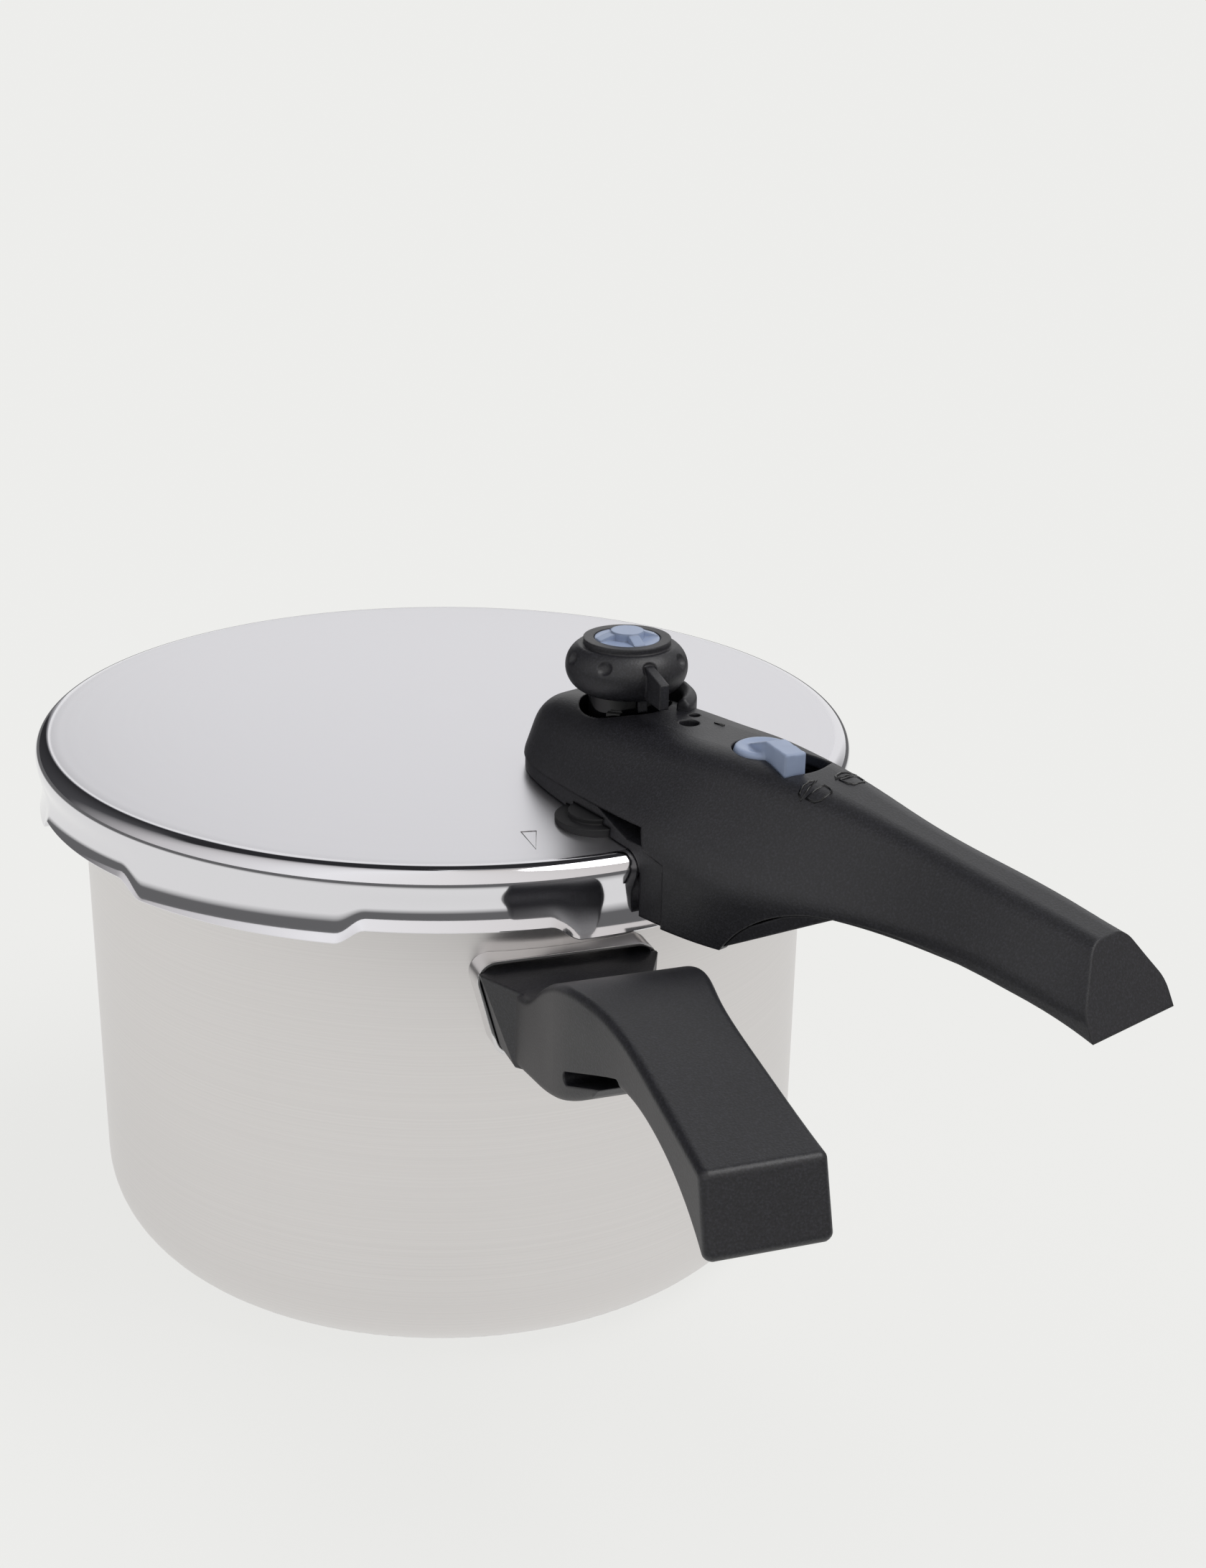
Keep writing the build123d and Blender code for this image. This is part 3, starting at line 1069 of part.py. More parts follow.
def lock_rivet():
    head = rod(2 * RIVET_RADIUS, CAM_Z - RIVET_HEAD_HEIGHT, CAM_Z)
    return to_lock(head + rod(RIVET_RADIUS, CAM_Z, LOCK_TOP_Z - LOCK_SKIN))


# Every piece under its name
def pieces():
    lid = lid_shell()
    return {
        "pan_body": pan_body(),
        "base_disc": base_disc(),
        "base_cap": base_cap(),
        "pan_handle_bracket": pan_handle_bracket(),
        "pan_handle": pan_handle(),
        "pan_handle_screw": pan_handle_screw(),
        "lid_shell": lid,
        "sealing_ring": sealing_ring(),
        "lid_bracket": lid_bracket(),
        "lid_handle_shell": lid_handle_shell(),
        "lid_handle_base": lid_handle_base(),
        "lid_handle_screws": lid_handle_screws(),
        "cover_screws": cover_screws(),
        "vent_pipe": vent_pipe(),
        "vent_washer": vent_washer(),
        "vent_nut": vent_nut(lid),
        "vent_shield": vent_shield(),
        "safety_plug": safety_plug(lid),
        "indicator_seal": indicator_seal(lid),
        "indicator_pin": indicator_pin(),
        "valve_collar": valve_collar(),
        "valve_knob": valve_knob(),
        "valve_cap": valve_cap(),
        "valve_needle": valve_needle(),
        "valve_spring": valve_spring(),
        "lock_lever": lock_lever(),
        "lock_cam": lock_cam(),
        "lock_rivet": lock_rivet(),
    }


os.makedirs("parts", exist_ok=True)
for name, piece in pieces().items():
    export_step(piece, f"parts/{name}.step")
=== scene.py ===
from math import cos, pi, radians, sin, sqrt

import bmesh
import bpy
from mathutils import Matrix, Quaternion, Vector
from mathutils.bvhtree import BVHTree

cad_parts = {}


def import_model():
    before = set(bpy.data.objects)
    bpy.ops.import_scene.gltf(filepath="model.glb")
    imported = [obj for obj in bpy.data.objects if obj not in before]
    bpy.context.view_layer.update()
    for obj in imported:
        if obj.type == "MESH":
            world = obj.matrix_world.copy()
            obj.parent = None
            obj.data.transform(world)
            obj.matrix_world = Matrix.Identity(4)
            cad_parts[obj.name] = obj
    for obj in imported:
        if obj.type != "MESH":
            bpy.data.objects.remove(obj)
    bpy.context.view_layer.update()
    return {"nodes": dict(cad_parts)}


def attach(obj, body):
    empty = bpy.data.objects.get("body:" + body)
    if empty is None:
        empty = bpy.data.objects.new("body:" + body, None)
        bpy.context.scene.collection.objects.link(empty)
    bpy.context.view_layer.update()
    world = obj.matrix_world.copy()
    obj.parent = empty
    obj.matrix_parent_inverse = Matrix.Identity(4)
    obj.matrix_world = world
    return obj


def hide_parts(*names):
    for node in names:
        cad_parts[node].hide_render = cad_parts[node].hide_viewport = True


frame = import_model()

# Sizes that the pieces share, in metres, and the lid handle's turn
MM = 0.001
HANDLE_TURN = radians(23.0)
VALVE_OUT = 72.2 * MM
MERGE_WITHIN = 0.01 * MM
DROP_FROM = 1.0

# Finishes: the bright bead of the lid, and the rounding of sharp edges
LID_BEAD_FROM = 109.0 * MM
LID_BEAD_BLEND = 0.6 * MM
LID_BEAD_ROUGHNESS = 0.06
SHEET_EDGE = 0.4 * MM
GLOSS_EDGE = 0.5 * MM
RUBBER_EDGE = 0.6 * MM
MOULD_EDGE = 0.8 * MM
EDGE_SAMPLES = 6

# Sizes of the patterns in the finishes, and how many times in a metre their long lines waver
BRUSH_LINE = 0.5 * MM
BRUSH_DRIFT = 1.5
TURNING_LINE = 1.5 * MM
TOOL_RING = 0.3 * MM
TOOL_DRIFT = 60.0
SHEET_HAZE = 16.0 * MM
ROLLED_GRAIN = 2.0 * MM
MOULD_GRIT = 0.55 * MM
MOULD_FLOW = 30.0 * MM
GLOSS_HAZE = 8.0 * MM
RUBBER_DUST = 9.0 * MM
NYLON_MOTTLE = 4.0 * MM
ETCH_WEAR = 1.5 * MM

# Lock lever: place of its pivot along the handle, its turn, its heights, and its pad and lug
LEVER_OUT = 121.3 * MM
LEVER_TURN = radians(-19.0)
LEVER_LOW = 169.8 * MM
LEVER_RIM = 176.0 * MM
LEVER_DISH = 0.7 * MM
LEVER_RADIUS = 7.5 * MM
LEVER_DISH_REACH = 0.45 * LEVER_RADIUS
LEVER_RIM_REACH = 0.82 * LEVER_RADIUS
LEVER_EDGE_REACH = 0.94 * LEVER_RADIUS
LEVER_EDGE_DROP = 0.4 * MM
LEVER_SIDE_DROP = 1.8 * MM
STEM_RADIUS = 4.0 * MM
STEM_LOW = 165.7 * MM
LUG_TOP = 179.2 * MM
LUG_BACK = 4.4 * MM
LUG_REACH = 16.6 * MM
LUG_HALF_WIDTH = 2.8 * MM
LUG_CREST = 6.0 * MM
LUG_TAIL_DROP = 0.8 * MM
LEVER_STEPS = 72
LEVER_VOXEL = 0.28 * MM
LEVER_SMOOTHING = 8

# Pressed lid: its crowned top, its bead, its hollowed skirt, and the lugs along its lower edge
LID_WALL = 1.2 * MM
LID_TOP = 155.0 * MM
LID_DOME_RADIUS = 1470.8 * MM
BEAD_MIDDLE = (108.4 * MM, 146.5 * MM)
BEAD_RADIUS = 4.49 * MM
SKIRT_WAIST = 111.6 * MM
SKIRT_WAIST_AT = 0.55
SKIRT_INSIDE = 110.7 * MM
SKIRT_LIP = 112.75 * MM
LIP_ROUND = 0.35 * MM
LIP_CORNER = 0.3 * LIP_ROUND
LUG_LOW = 130.5 * MM
LUG_INNER = 104.2 * MM
LUG_END_CUT = 4.0
LUG_COUNT = 6
GAP_RISE = 4.0 * MM
GAP_CENTRE = radians(-15.0)
GAP_HALF = radians(13.5)
GAP_BLEND = radians(2.0)
LID_STEPS = 720
DOME_SHARES = (0.0, 0.2, 0.4, 0.6, 0.8, 0.92, 0.98, 0.999)
BEAD_ROWS = 16
SKIRT_ROWS = 24
HOLLOW_ROWS = 10
HOLLOW_FROM = radians(-43.0)
LID_MERGE = 0.002 * MM
LID_CREASE = radians(40.0)

# Raised guard of the handle beside the valve's hole
GUARD_RADIUS = 16.4 * MM
GUARD_HALF_WIDTH = 1.9 * MM
GUARD_TOP = 178.3 * MM
GUARD_LOW = 169.0 * MM
GUARD_FROM = radians(18.0)
GUARD_SWEEP = radians(130.0)
GUARD_STEPS = 40
GUARD_VOXEL = 0.4 * MM
GUARD_SMOOTHING = 12

# Raised marks on the lid handle, with the raised cover's lift in drawn millimetres, and the lid's arrow
MARK_LINE = 0.7 * MM
MARK_OUT = 145.5 * MM
NEAR_MARK_SIDE = -7.0 * MM
FAR_MARK_SIDE = 4.6 * MM
DASH_OUT = 101.0 * MM
DASH_SIDE = 5.2 * MM
COVER_TILT = radians(14)
COVER_LIFT = 0.9
ETCH_LINE = 0.3 * MM
ARROW_CORNERS = [(91.9 * MM, -8.1 * MM), (92.4 * MM, -4.3 * MM), (102.2 * MM, -7.6 * MM)]

# Camera, fitted to the photograph
CAMERA_PLACE = (0.6135, -0.1765, 0.3693)
CAMERA_AZIMUTH = radians(158.31)
CAMERA_PITCH = radians(24.04)
CAMERA_ROLL = radians(1.80)
CAMERA_LENS = 54.71
CAMERA_SENSOR = 36.0
CAMERA_SHIFT = (-0.0395, 0.0966)

# Light, and the tones and places of what is round the cooker
BACKGROUND = "EFEFED"
# Dark grey that only the steel sees on the floor past its pale middle: a painted reflection of a table
PAINTED_TABLE_REFLECTION = "3C3C3E"
# Dark far ceiling that only the steel sees: a painted reflection
PAINTED_CEILING_REFLECTION = "2E2E30"
FLOOR_SIZE = 30.0
FLOOR_GLOW = 0.86
# Pale middle of the floor as the steel sees it, and the fade out to the painted dark table reflection
PALE_REFLECTION_MIDDLE = (-0.16, -0.06, 0.0)
PALE_REFLECTION_RADIUS = 0.50
PAINTED_TABLE_FADE = 0.24
FILL_LEVEL = 0.6
SUN_LEVEL = 1.2
SUN_SOFTNESS = radians(40.0)
SUN_WAY = (-0.30, -0.55, -1.0)
# Where the painted dark ceiling reflection begins, by height and towards the side away from the camera
PAINTED_CEILING_FROM = 0.72
PAINTED_CEILING_FADE = 0.06
PAINTED_FAR_SIDE_FROM = 0.06
PAINTED_FAR_SIDE_FADE = 0.08


# Colours and nodes
def colour(code):
    """Linear RGBA of an sRGB hex value."""
    channels = [int(code[i:i + 2], 16) / 255 for i in (0, 2, 4)]
    linear = [c / 12.92 if c <= 0.04045 else ((c + 0.055) / 1.055) ** 2.4 for c in channels]
    return (*linear, 1.0)


def add(tree, kind, links=None, **settings):
    """Add a node, set its properties, and fill its sockets with values or links."""
    node = tree.nodes.new(kind)
    for name, value in settings.items():
        setattr(node, name, value)
    for name, value in (links or {}).items():
        if isinstance(value, bpy.types.NodeSocket):
            tree.links.new(value, node.inputs[name])
        else:
            node.inputs[name].default_value = value
    return node


def set_ramp(node, stops):
    """Give a colour ramp its stops, each a position and a hex colour."""
    ramp = node.color_ramp
    while len(ramp.elements) < len(stops):
        ramp.elements.new(1.0)
    for element, (position, code) in zip(ramp.elements, stops):
        element.position = position
        element.color = colour(code)
    return node.outputs["Color"]


def join(tree, shader, **sockets):
    """Link outputs to the shader's inputs."""
    for name, output in sockets.items():
        tree.links.new(output, shader.inputs[name.replace("_", " ")])


def new_material(name):
    """Empty material, its node tree and its shader."""
    material = bpy.data.materials.new(name)
    material.use_nodes = True
    tree = material.node_tree
    return material, tree, tree.nodes["Principled BSDF"]


def dress(nodes, material):
    """Give CAD nodes a material."""
    for name in nodes:
        slots = frame["nodes"][name].data.materials
        slots.clear()
        slots.append(material)


# Materials
def uneven_sheen(tree, shader, size, detail, low, high):
    """Let the roughness drift from low to high in patches of a size, and give those patches."""
    place = add(tree, "ShaderNodeTexCoord").outputs["Object"]
    cloud = {"Vector": place, "Scale": 1 / size, "Detail": detail}
    patches = add(tree, "ShaderNodeTexNoise", cloud).outputs["Fac"]
    rough = add(tree, "ShaderNodeMapRange", {"Value": patches, "To Min": low, "To Max": high})
    join(tree, shader, Roughness=rough.outputs["Result"])
    return patches


def brushed_stainless():
    """Stainless sheet brushed round and round, which draws reflections out into tall soft bands.
    The brush lines are drawn coarser than the real ones so that they show."""
    material, tree, shader = new_material("brushed_stainless_steel")
    place = add(tree, "ShaderNodeTexCoord").outputs["Object"]
    stretch = {"Vector": place, "Scale": (BRUSH_DRIFT, BRUSH_DRIFT, 1 / BRUSH_LINE)}
    lines = add(tree, "ShaderNodeMapping", stretch).outputs["Vector"]
    streaks = {"Vector": lines, "Scale": 1.0, "Detail": 2.0}
    fine = add(tree, "ShaderNodeTexNoise", streaks).outputs["Fac"]
    tone = add(tree, "ShaderNodeValToRGB", {"Fac": fine})
    shade = set_ramp(tone, [(0.3, "E0DDDC"), (0.7, "E5E2E1")])
    rough = add(tree, "ShaderNodeMapRange", {"Value": fine, "To Min": 0.27, "To Max": 0.32})
    bump = add(tree, "ShaderNodeBump", {"Height": fine, "Strength": 0.04, "Distance": 0.02 * MM})
    around = add(tree, "ShaderNodeTangent", direction_type="RADIAL", axis="Z")
    join(tree, shader, Base_Color=shade, Roughness=rough.outputs["Result"])
    join(tree, shader, Normal=bump.outputs["Normal"], Tangent=around.outputs["Tangent"])
    shader.inputs["Metallic"].default_value = 1.0
    shader.inputs["Anisotropic"].default_value = 0.6
    return material


def polished_lid_steel():
    """Pressed stainless lid: an even satin top with faint turning marks, and a mirror-bright rim."""
    material, tree, shader = new_material("polished_stainless_lid")
    place = add(tree, "ShaderNodeTexCoord").outputs["Object"]
    flat = add(tree, "ShaderNodeMapping", {"Vector": place, "Scale": (1.0, 1.0, 0.0)}).outputs["Vector"]
    radius = add(tree, "ShaderNodeVectorMath", {0: flat}, operation="LENGTH").outputs["Value"]
    border = {"Value": radius, "From Min": LID_BEAD_FROM - LID_BEAD_BLEND, "From Max": LID_BEAD_FROM}
    bead = add(tree, "ShaderNodeMapRange", border).outputs["Result"]
    rings = add(tree, "ShaderNodeCombineXYZ", {"X": radius}).outputs["Vector"]
    cuts = {"Vector": rings, "Scale": 1 / TURNING_LINE, "Detail": 3.0}
    turning = add(tree, "ShaderNodeTexNoise", cuts).outputs["Fac"]
    satin = add(tree, "ShaderNodeMapRange", {"Value": turning, "To Min": 0.29, "To Max": 0.34})
    finishes = {0: bead, 2: satin.outputs["Result"], 3: LID_BEAD_ROUGHNESS}
    rough = add(tree, "ShaderNodeMix", finishes, data_type="FLOAT")
    bump = add(tree, "ShaderNodeBump", {"Height": turning, "Strength": 0.02, "Distance": 0.03 * MM})
    join(tree, shader, Roughness=rough.outputs[0], Normal=bump.outputs["Normal"])
    shader.inputs["Base Color"].default_value = colour("E4E3E7")
    shader.inputs["Metallic"].default_value = 1.0
    return material


def polished_sheet():
    """Bright pressed stainless sheet with a little haze from handling."""
    material, tree, shader = new_material("polished_stainless_sheet")
    uneven_sheen(tree, shader, SHEET_HAZE, 4.0, 0.05, 0.14)
    edge = add(tree, "ShaderNodeBevel", {"Radius": SHEET_EDGE}, samples=EDGE_SAMPLES)
    join(tree, shader, Normal=edge.outputs["Normal"])
    shader.inputs["Base Color"].default_value = colour("D6D5D6")
    shader.inputs["Metallic"].default_value = 1.0
    return material


def aluminium_plate():
    """Plain rolled aluminium of the heat spreader, dull and grey."""
    material, tree, shader = new_material("rolled_aluminium")
    uneven_sheen(tree, shader, ROLLED_GRAIN, 4.0, 0.35, 0.55)
    shader.inputs["Base Color"].default_value = colour("B8B9BA")
    shader.inputs["Metallic"].default_value = 1.0
    return material


def phenolic():
    """Black moulded phenolic resin with a spark-eroded grain, which breaks the sheen into fine specks.
    The grain is drawn coarser than the real one so that it shows."""
    material, tree, shader = new_material("moulded_black_phenolic")
    uneven_sheen(tree, shader, MOULD_FLOW, 3.0, 0.36, 0.50)
    place = add(tree, "ShaderNodeTexCoord").outputs["Object"]
    specks = {"Vector": place, "Scale": 1 / MOULD_GRIT, "Detail": 1.0}
    grit = add(tree, "ShaderNodeTexNoise", specks).outputs["Fac"]
    tone = add(tree, "ShaderNodeValToRGB", {"Fac": grit})
    shade = set_ramp(tone, [(0.35, "19191D"), (0.55, "202025"), (0.72, "2A2A30")])
    edge = add(tree, "ShaderNodeBevel", {"Radius": MOULD_EDGE}, samples=EDGE_SAMPLES).outputs["Normal"]
    grain = {"Height": grit, "Strength": 0.4, "Distance": 0.12 * MM, "Normal": edge}
    bump = add(tree, "ShaderNodeBump", grain)
    join(tree, shader, Base_Color=shade, Normal=bump.outputs["Normal"])
    shader.inputs["IOR"].default_value = 1.55
    return material


def glossy_resin():
    """Smooth glossy black resin of the valve's collar and of the raised marks, with sharp glints."""
    material, tree, shader = new_material("glossy_black_resin")
    uneven_sheen(tree, shader, GLOSS_HAZE, 2.0, 0.05, 0.12)
    edge = add(tree, "ShaderNodeBevel", {"Radius": GLOSS_EDGE}, samples=EDGE_SAMPLES)
    join(tree, shader, Normal=edge.outputs["Normal"])
    shader.inputs["Base Color"].default_value = colour("0C0C0E")
    shader.inputs["IOR"].default_value = 1.52
    return material


def silicone_rubber():
    """Black silicone rubber, soft-looking and slightly dusty."""
    material, tree, shader = new_material("black_silicone_rubber")
    dust = uneven_sheen(tree, shader, RUBBER_DUST, 5.0, 0.45, 0.62)
    tone = add(tree, "ShaderNodeValToRGB", {"Fac": dust})
    shade = set_ramp(tone, [(0.3, "141416"), (0.8, "202022")])
    edge = add(tree, "ShaderNodeBevel", {"Radius": RUBBER_EDGE}, samples=EDGE_SAMPLES)
    join(tree, shader, Base_Color=shade, Normal=edge.outputs["Normal"])
    shader.inputs["IOR"].default_value = 1.43
    return material


def blue_nylon():
    """Grey-blue moulded nylon of the valve's cap and the lock lever, satin with a faint mottle."""
    material, tree, shader = new_material("grey_blue_nylon")
    mottle = uneven_sheen(tree, shader, NYLON_MOTTLE, 3.0, 0.30, 0.42)
    tone = add(tree, "ShaderNodeValToRGB", {"Fac": mottle})
    shade = set_ramp(tone, [(0.3, "95A3BF"), (0.7, "9DABC6")])
    edge = add(tree, "ShaderNodeBevel", {"Radius": MOULD_EDGE}, samples=EDGE_SAMPLES)
    join(tree, shader, Base_Color=shade, Normal=edge.outputs["Normal"])
    shader.inputs["IOR"].default_value = 1.53
    return material


def turned_steel():
    """Turned and plated steel of the screws, pipe, cam and spring, with fine tool rings."""
    material, tree, shader = new_material("plated_turned_steel")
    place = add(tree, "ShaderNodeTexCoord").outputs["Object"]
    stretch = {"Vector": place, "Scale": (TOOL_DRIFT, TOOL_DRIFT, 1 / TOOL_RING)}
    lines = add(tree, "ShaderNodeMapping", stretch).outputs["Vector"]
    rings = {"Vector": lines, "Scale": 1.0, "Detail": 2.0}
    turning = add(tree, "ShaderNodeTexNoise", rings).outputs["Fac"]
    rough = add(tree, "ShaderNodeMapRange", {"Value": turning, "To Min": 0.22, "To Max": 0.40})
    join(tree, shader, Roughness=rough.outputs["Result"])
    shader.inputs["Base Color"].default_value = colour("B4B4B2")
    shader.inputs["Metallic"].default_value = 1.0
    return material


def etched_line():
    """Electro-etched line on the steel, dull and dark with worn edges."""
    material, tree, shader = new_material("etched_stainless_line")
    place = add(tree, "ShaderNodeTexCoord").outputs["Object"]
    wear = add(tree, "ShaderNodeTexNoise", {"Vector": place, "Scale": 1 / ETCH_WEAR, "Detail": 3.0})
    tone = add(tree, "ShaderNodeValToRGB", {"Fac": wear.outputs["Fac"]})
    join(tree, shader, Base_Color=set_ramp(tone, [(0.35, "4A4545"), (0.7, "8E8B8C")]))
    shader.inputs["Roughness"].default_value = 0.6
    return material


# Pieces
def make_piece(name, mesh, material, body):
    """Object for a finished mesh that rides on a body."""
    mesh.name = name
    mesh.materials.clear()
    mesh.materials.append(material)
    piece = bpy.data.objects.new(name, mesh)
    bpy.context.scene.collection.objects.link(piece)
    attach(piece, body)
    return piece


def on_handle_axis(out, turn=0.0):
    """Place at a distance along the lid handle, turned about its own upright axis."""
    along = Matrix.Rotation(HANDLE_TURN, 4, "Z") @ Matrix.Translation((out, 0, 0))
    return along @ Matrix.Rotation(turn, 4, "Z")


def softened(shape, voxel, passes):
    """Mesh of overlapping forms run into one skin and smoothed, as a moulding is."""
    bmesh.ops.remove_doubles(shape, verts=shape.verts, dist=MERGE_WITHIN)
    bmesh.ops.recalc_face_normals(shape, faces=shape.faces)
    mesh = bpy.data.meshes.new("moulding")
    shape.to_mesh(mesh)
    shape.free()
    helper = bpy.data.objects.new("helper", mesh)
    bpy.context.scene.collection.objects.link(helper)
    skin = helper.modifiers.new("skin", "REMESH")
    skin.mode = "VOXEL"
    skin.voxel_size = voxel
    skin.use_smooth_shade = True
    smooth = helper.modifiers.new("smooth", "SMOOTH")
    smooth.factor = 0.5
    smooth.iterations = passes
    graph = bpy.context.evaluated_depsgraph_get()
    result = bpy.data.meshes.new_from_object(helper.evaluated_get(graph))
    bpy.data.objects.remove(helper)
    return result


def spin_profile(shape, profile, angle, steps):
    """Sweep a profile of distances and heights about the upright axis."""
    points = [shape.verts.new((radius, 0.0, height)) for radius, height in profile]
    edges = [shape.edges.new(pair) for pair in zip(points, points[1:])]
    full = angle >= 2 * pi
    bmesh.ops.spin(
        shape, geom=points + edges, cent=(0, 0, 0), axis=(0, 0, 1), angle=angle, steps=steps,
        use_merge=full,
    )


def lever_pad(lever):
    """Round pad with a shallow dish and a rolled rim, on its stem."""
    dish = LEVER_RIM - LEVER_DISH
    spin_profile(lever, [
        (0.0, dish), (LEVER_DISH_REACH, dish), (LEVER_RIM_REACH, LEVER_RIM),
        (LEVER_EDGE_REACH, LEVER_RIM - LEVER_EDGE_DROP), (LEVER_RADIUS, LEVER_RIM - LEVER_SIDE_DROP),
        (LEVER_RADIUS, LEVER_LOW), (STEM_RADIUS, LEVER_LOW), (STEM_RADIUS, STEM_LOW), (0.0, STEM_LOW),
    ], 2 * pi, LEVER_STEPS)


def lever_lug(lever):
    """Lug that rises across the pad to a flat crest and ends square."""
    length = LUG_REACH + LUG_BACK
    block = bmesh.ops.create_cube(lever, size=1.0)["verts"]
    bmesh.ops.scale(lever, vec=(length, 2 * LUG_HALF_WIDTH, LUG_TOP - LEVER_LOW), verts=block)
    bmesh.ops.translate(lever, vec=(LUG_REACH - length / 2, 0, (LUG_TOP + LEVER_LOW) / 2), verts=block)
    faces = list({face for vert in block for face in vert.link_faces})
    edges = list({edge for vert in block for edge in vert.link_edges})
    bmesh.ops.bisect_plane(
        lever, geom=block + edges + faces, dist=MERGE_WITHIN, plane_co=(LUG_CREST, 0, 0),
        plane_no=(1, 0, 0),
    )
    for vert in lever.verts:
        if vert.co.z > LUG_TOP - MERGE_WITHIN and vert.co.x < 0:
            vert.co.z = LEVER_RIM - LUG_TAIL_DROP


def lock_lever(material):
    """Moulded lever whose pad and lug run into each other with soft hollows."""
    lever = bmesh.new()
    lever_pad(lever)
    lever_lug(lever)
    bmesh.ops.transform(lever, matrix=on_handle_axis(LEVER_OUT, LEVER_TURN), verts=lever.verts)
    mesh = softened(lever, LEVER_VOXEL, LEVER_SMOOTHING)
    piece = make_piece("lock_lever_moulding", mesh, material, "lock")
    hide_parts("lock_lever")


def valve_guard(material):
    """Rounded ridge of the handle that stands part of the way round the valve's hole."""
    guard = bmesh.new()
    inner = GUARD_RADIUS - GUARD_HALF_WIDTH
    outer = GUARD_RADIUS + GUARD_HALF_WIDTH
    shoulder = GUARD_TOP - GUARD_HALF_WIDTH
    spin_profile(guard, [
        (inner, GUARD_LOW), (inner, shoulder), (GUARD_RADIUS, GUARD_TOP), (outer, shoulder),
        (outer, GUARD_LOW), (inner, GUARD_LOW),
    ], GUARD_SWEEP, GUARD_STEPS)
    bmesh.ops.remove_doubles(guard, verts=guard.verts, dist=MERGE_WITHIN)
    bmesh.ops.holes_fill(guard, edges=guard.edges)
    bmesh.ops.transform(guard, matrix=on_handle_axis(VALVE_OUT, GUARD_FROM), verts=guard.verts)
    mesh = softened(guard, GUARD_VOXEL, GUARD_SMOOTHING)
    make_piece("valve_guard", mesh, material, "lid")


def dome_height(radius, drop=0.0):
    """Height of the lid's crowned top, or of a surface a drop below it."""
    return LID_TOP - LID_DOME_RADIUS + sqrt((LID_DOME_RADIUS - drop) ** 2 - radius ** 2)


def gap_share(angle):
    """One over a gap between two lugs of the lid, none over a lug, and a soft step between them."""
    pitch = 2 * pi / LUG_COUNT
    away = abs((angle - GAP_CENTRE + pitch / 2) % pitch - pitch / 2)
    step = min(max((GAP_HALF + GAP_BLEND - away) / (2 * GAP_BLEND), 0.0), 1.0)
    return step * step * (3 - 2 * step)


def skirt_radius(share):
    """Radius of the skirt at a share of its height, hollowed below the bead and flared at the lip."""
    if share < SKIRT_WAIST_AT:
        swell = (1 + cos(pi * share / SKIRT_WAIST_AT)) / 2
        return SKIRT_WAIST + swell * (BEAD_MIDDLE[0] + BEAD_RADIUS - SKIRT_WAIST)
    flare = (share - SKIRT_WAIST_AT) / (1 - SKIRT_WAIST_AT)
    return SKIRT_WAIST + flare ** 2 * (SKIRT_LIP - SKIRT_WAIST)


def bead_arc(radius, first, last, steps):
    """Places along the bead's round, from one angle to another."""
    angles = [first + (last - first) * step / steps for step in range(steps + 1)]
    return [(BEAD_MIDDLE[0] + radius * cos(a), BEAD_MIDDLE[1] + radius * sin(a)) for a in angles]


def lid_section(angle):
    """Section of the lid at an angle, down its outside from the middle and back up its inside."""
    gap = gap_share(angle)
    low = LUG_LOW + gap * GAP_RISE
    lip = LUG_INNER + min(LUG_END_CUT * gap, 1.0) * (SKIRT_INSIDE - LUG_INNER)
    spread = [BEAD_MIDDLE[0] * share for share in DOME_SHARES]
    top = [(radius, dome_height(radius)) for radius in spread]
    bead = bead_arc(BEAD_RADIUS, pi / 2, 0.0, BEAD_ROWS)
    shares = [row / SKIRT_ROWS for row in range(1, SKIRT_ROWS + 1)]
    drop = BEAD_MIDDLE[1] - low - LIP_ROUND
    skirt = [(skirt_radius(share), BEAD_MIDDLE[1] - share * drop) for share in shares]
    foot = [
        (SKIRT_LIP - LIP_CORNER, low + LIP_CORNER), (SKIRT_LIP - LIP_ROUND, low), (lip, low),
        (lip, low + LID_WALL), (SKIRT_INSIDE, low + LID_WALL),
    ]
    hollow = bead_arc(BEAD_RADIUS - LID_WALL, HOLLOW_FROM, pi / 2, HOLLOW_ROWS)
    under = [(radius, dome_height(radius, LID_WALL)) for radius in reversed(spread)]
    return top + bead + skirt + foot + hollow + under


def pressed_lid(material):
    """Lid pressed from sheet, whose bead runs down into a hollowed skirt with a flared lip."""
    angles = [2 * pi * step / LID_STEPS for step in range(LID_STEPS)]
    sections = [lid_section(angle) for angle in angles]
    rows = len(sections[0]) - 1
    lid = bmesh.new()
    bmesh.ops.create_grid(lid, x_segments=LID_STEPS, y_segments=rows, size=1.0)
    for vert in lid.verts:
        step = round((vert.co.x + 1) / 2 * LID_STEPS) % LID_STEPS
        row = round((vert.co.y + 1) / 2 * rows)
        radius, height = sections[step][row]
        vert.co = (radius * cos(angles[step]), radius * sin(angles[step]), height)
    bmesh.ops.remove_doubles(lid, verts=lid.verts, dist=LID_MERGE)
    bmesh.ops.recalc_face_normals(lid, faces=lid.faces)
    mesh = bpy.data.meshes.new("lid")
    lid.to_mesh(mesh)
    lid.free()
    mesh.shade_smooth()
    mesh.set_sharp_from_angle(angle=LID_CREASE)
    piece = make_piece("pressed_lid", mesh, material, "lid")
    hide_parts("lid_shell")


def surface(node):
    """Search tree of a CAD node's mesh."""
    return BVHTree.FromObject(frame["nodes"][node], bpy.context.evaluated_depsgraph_get())


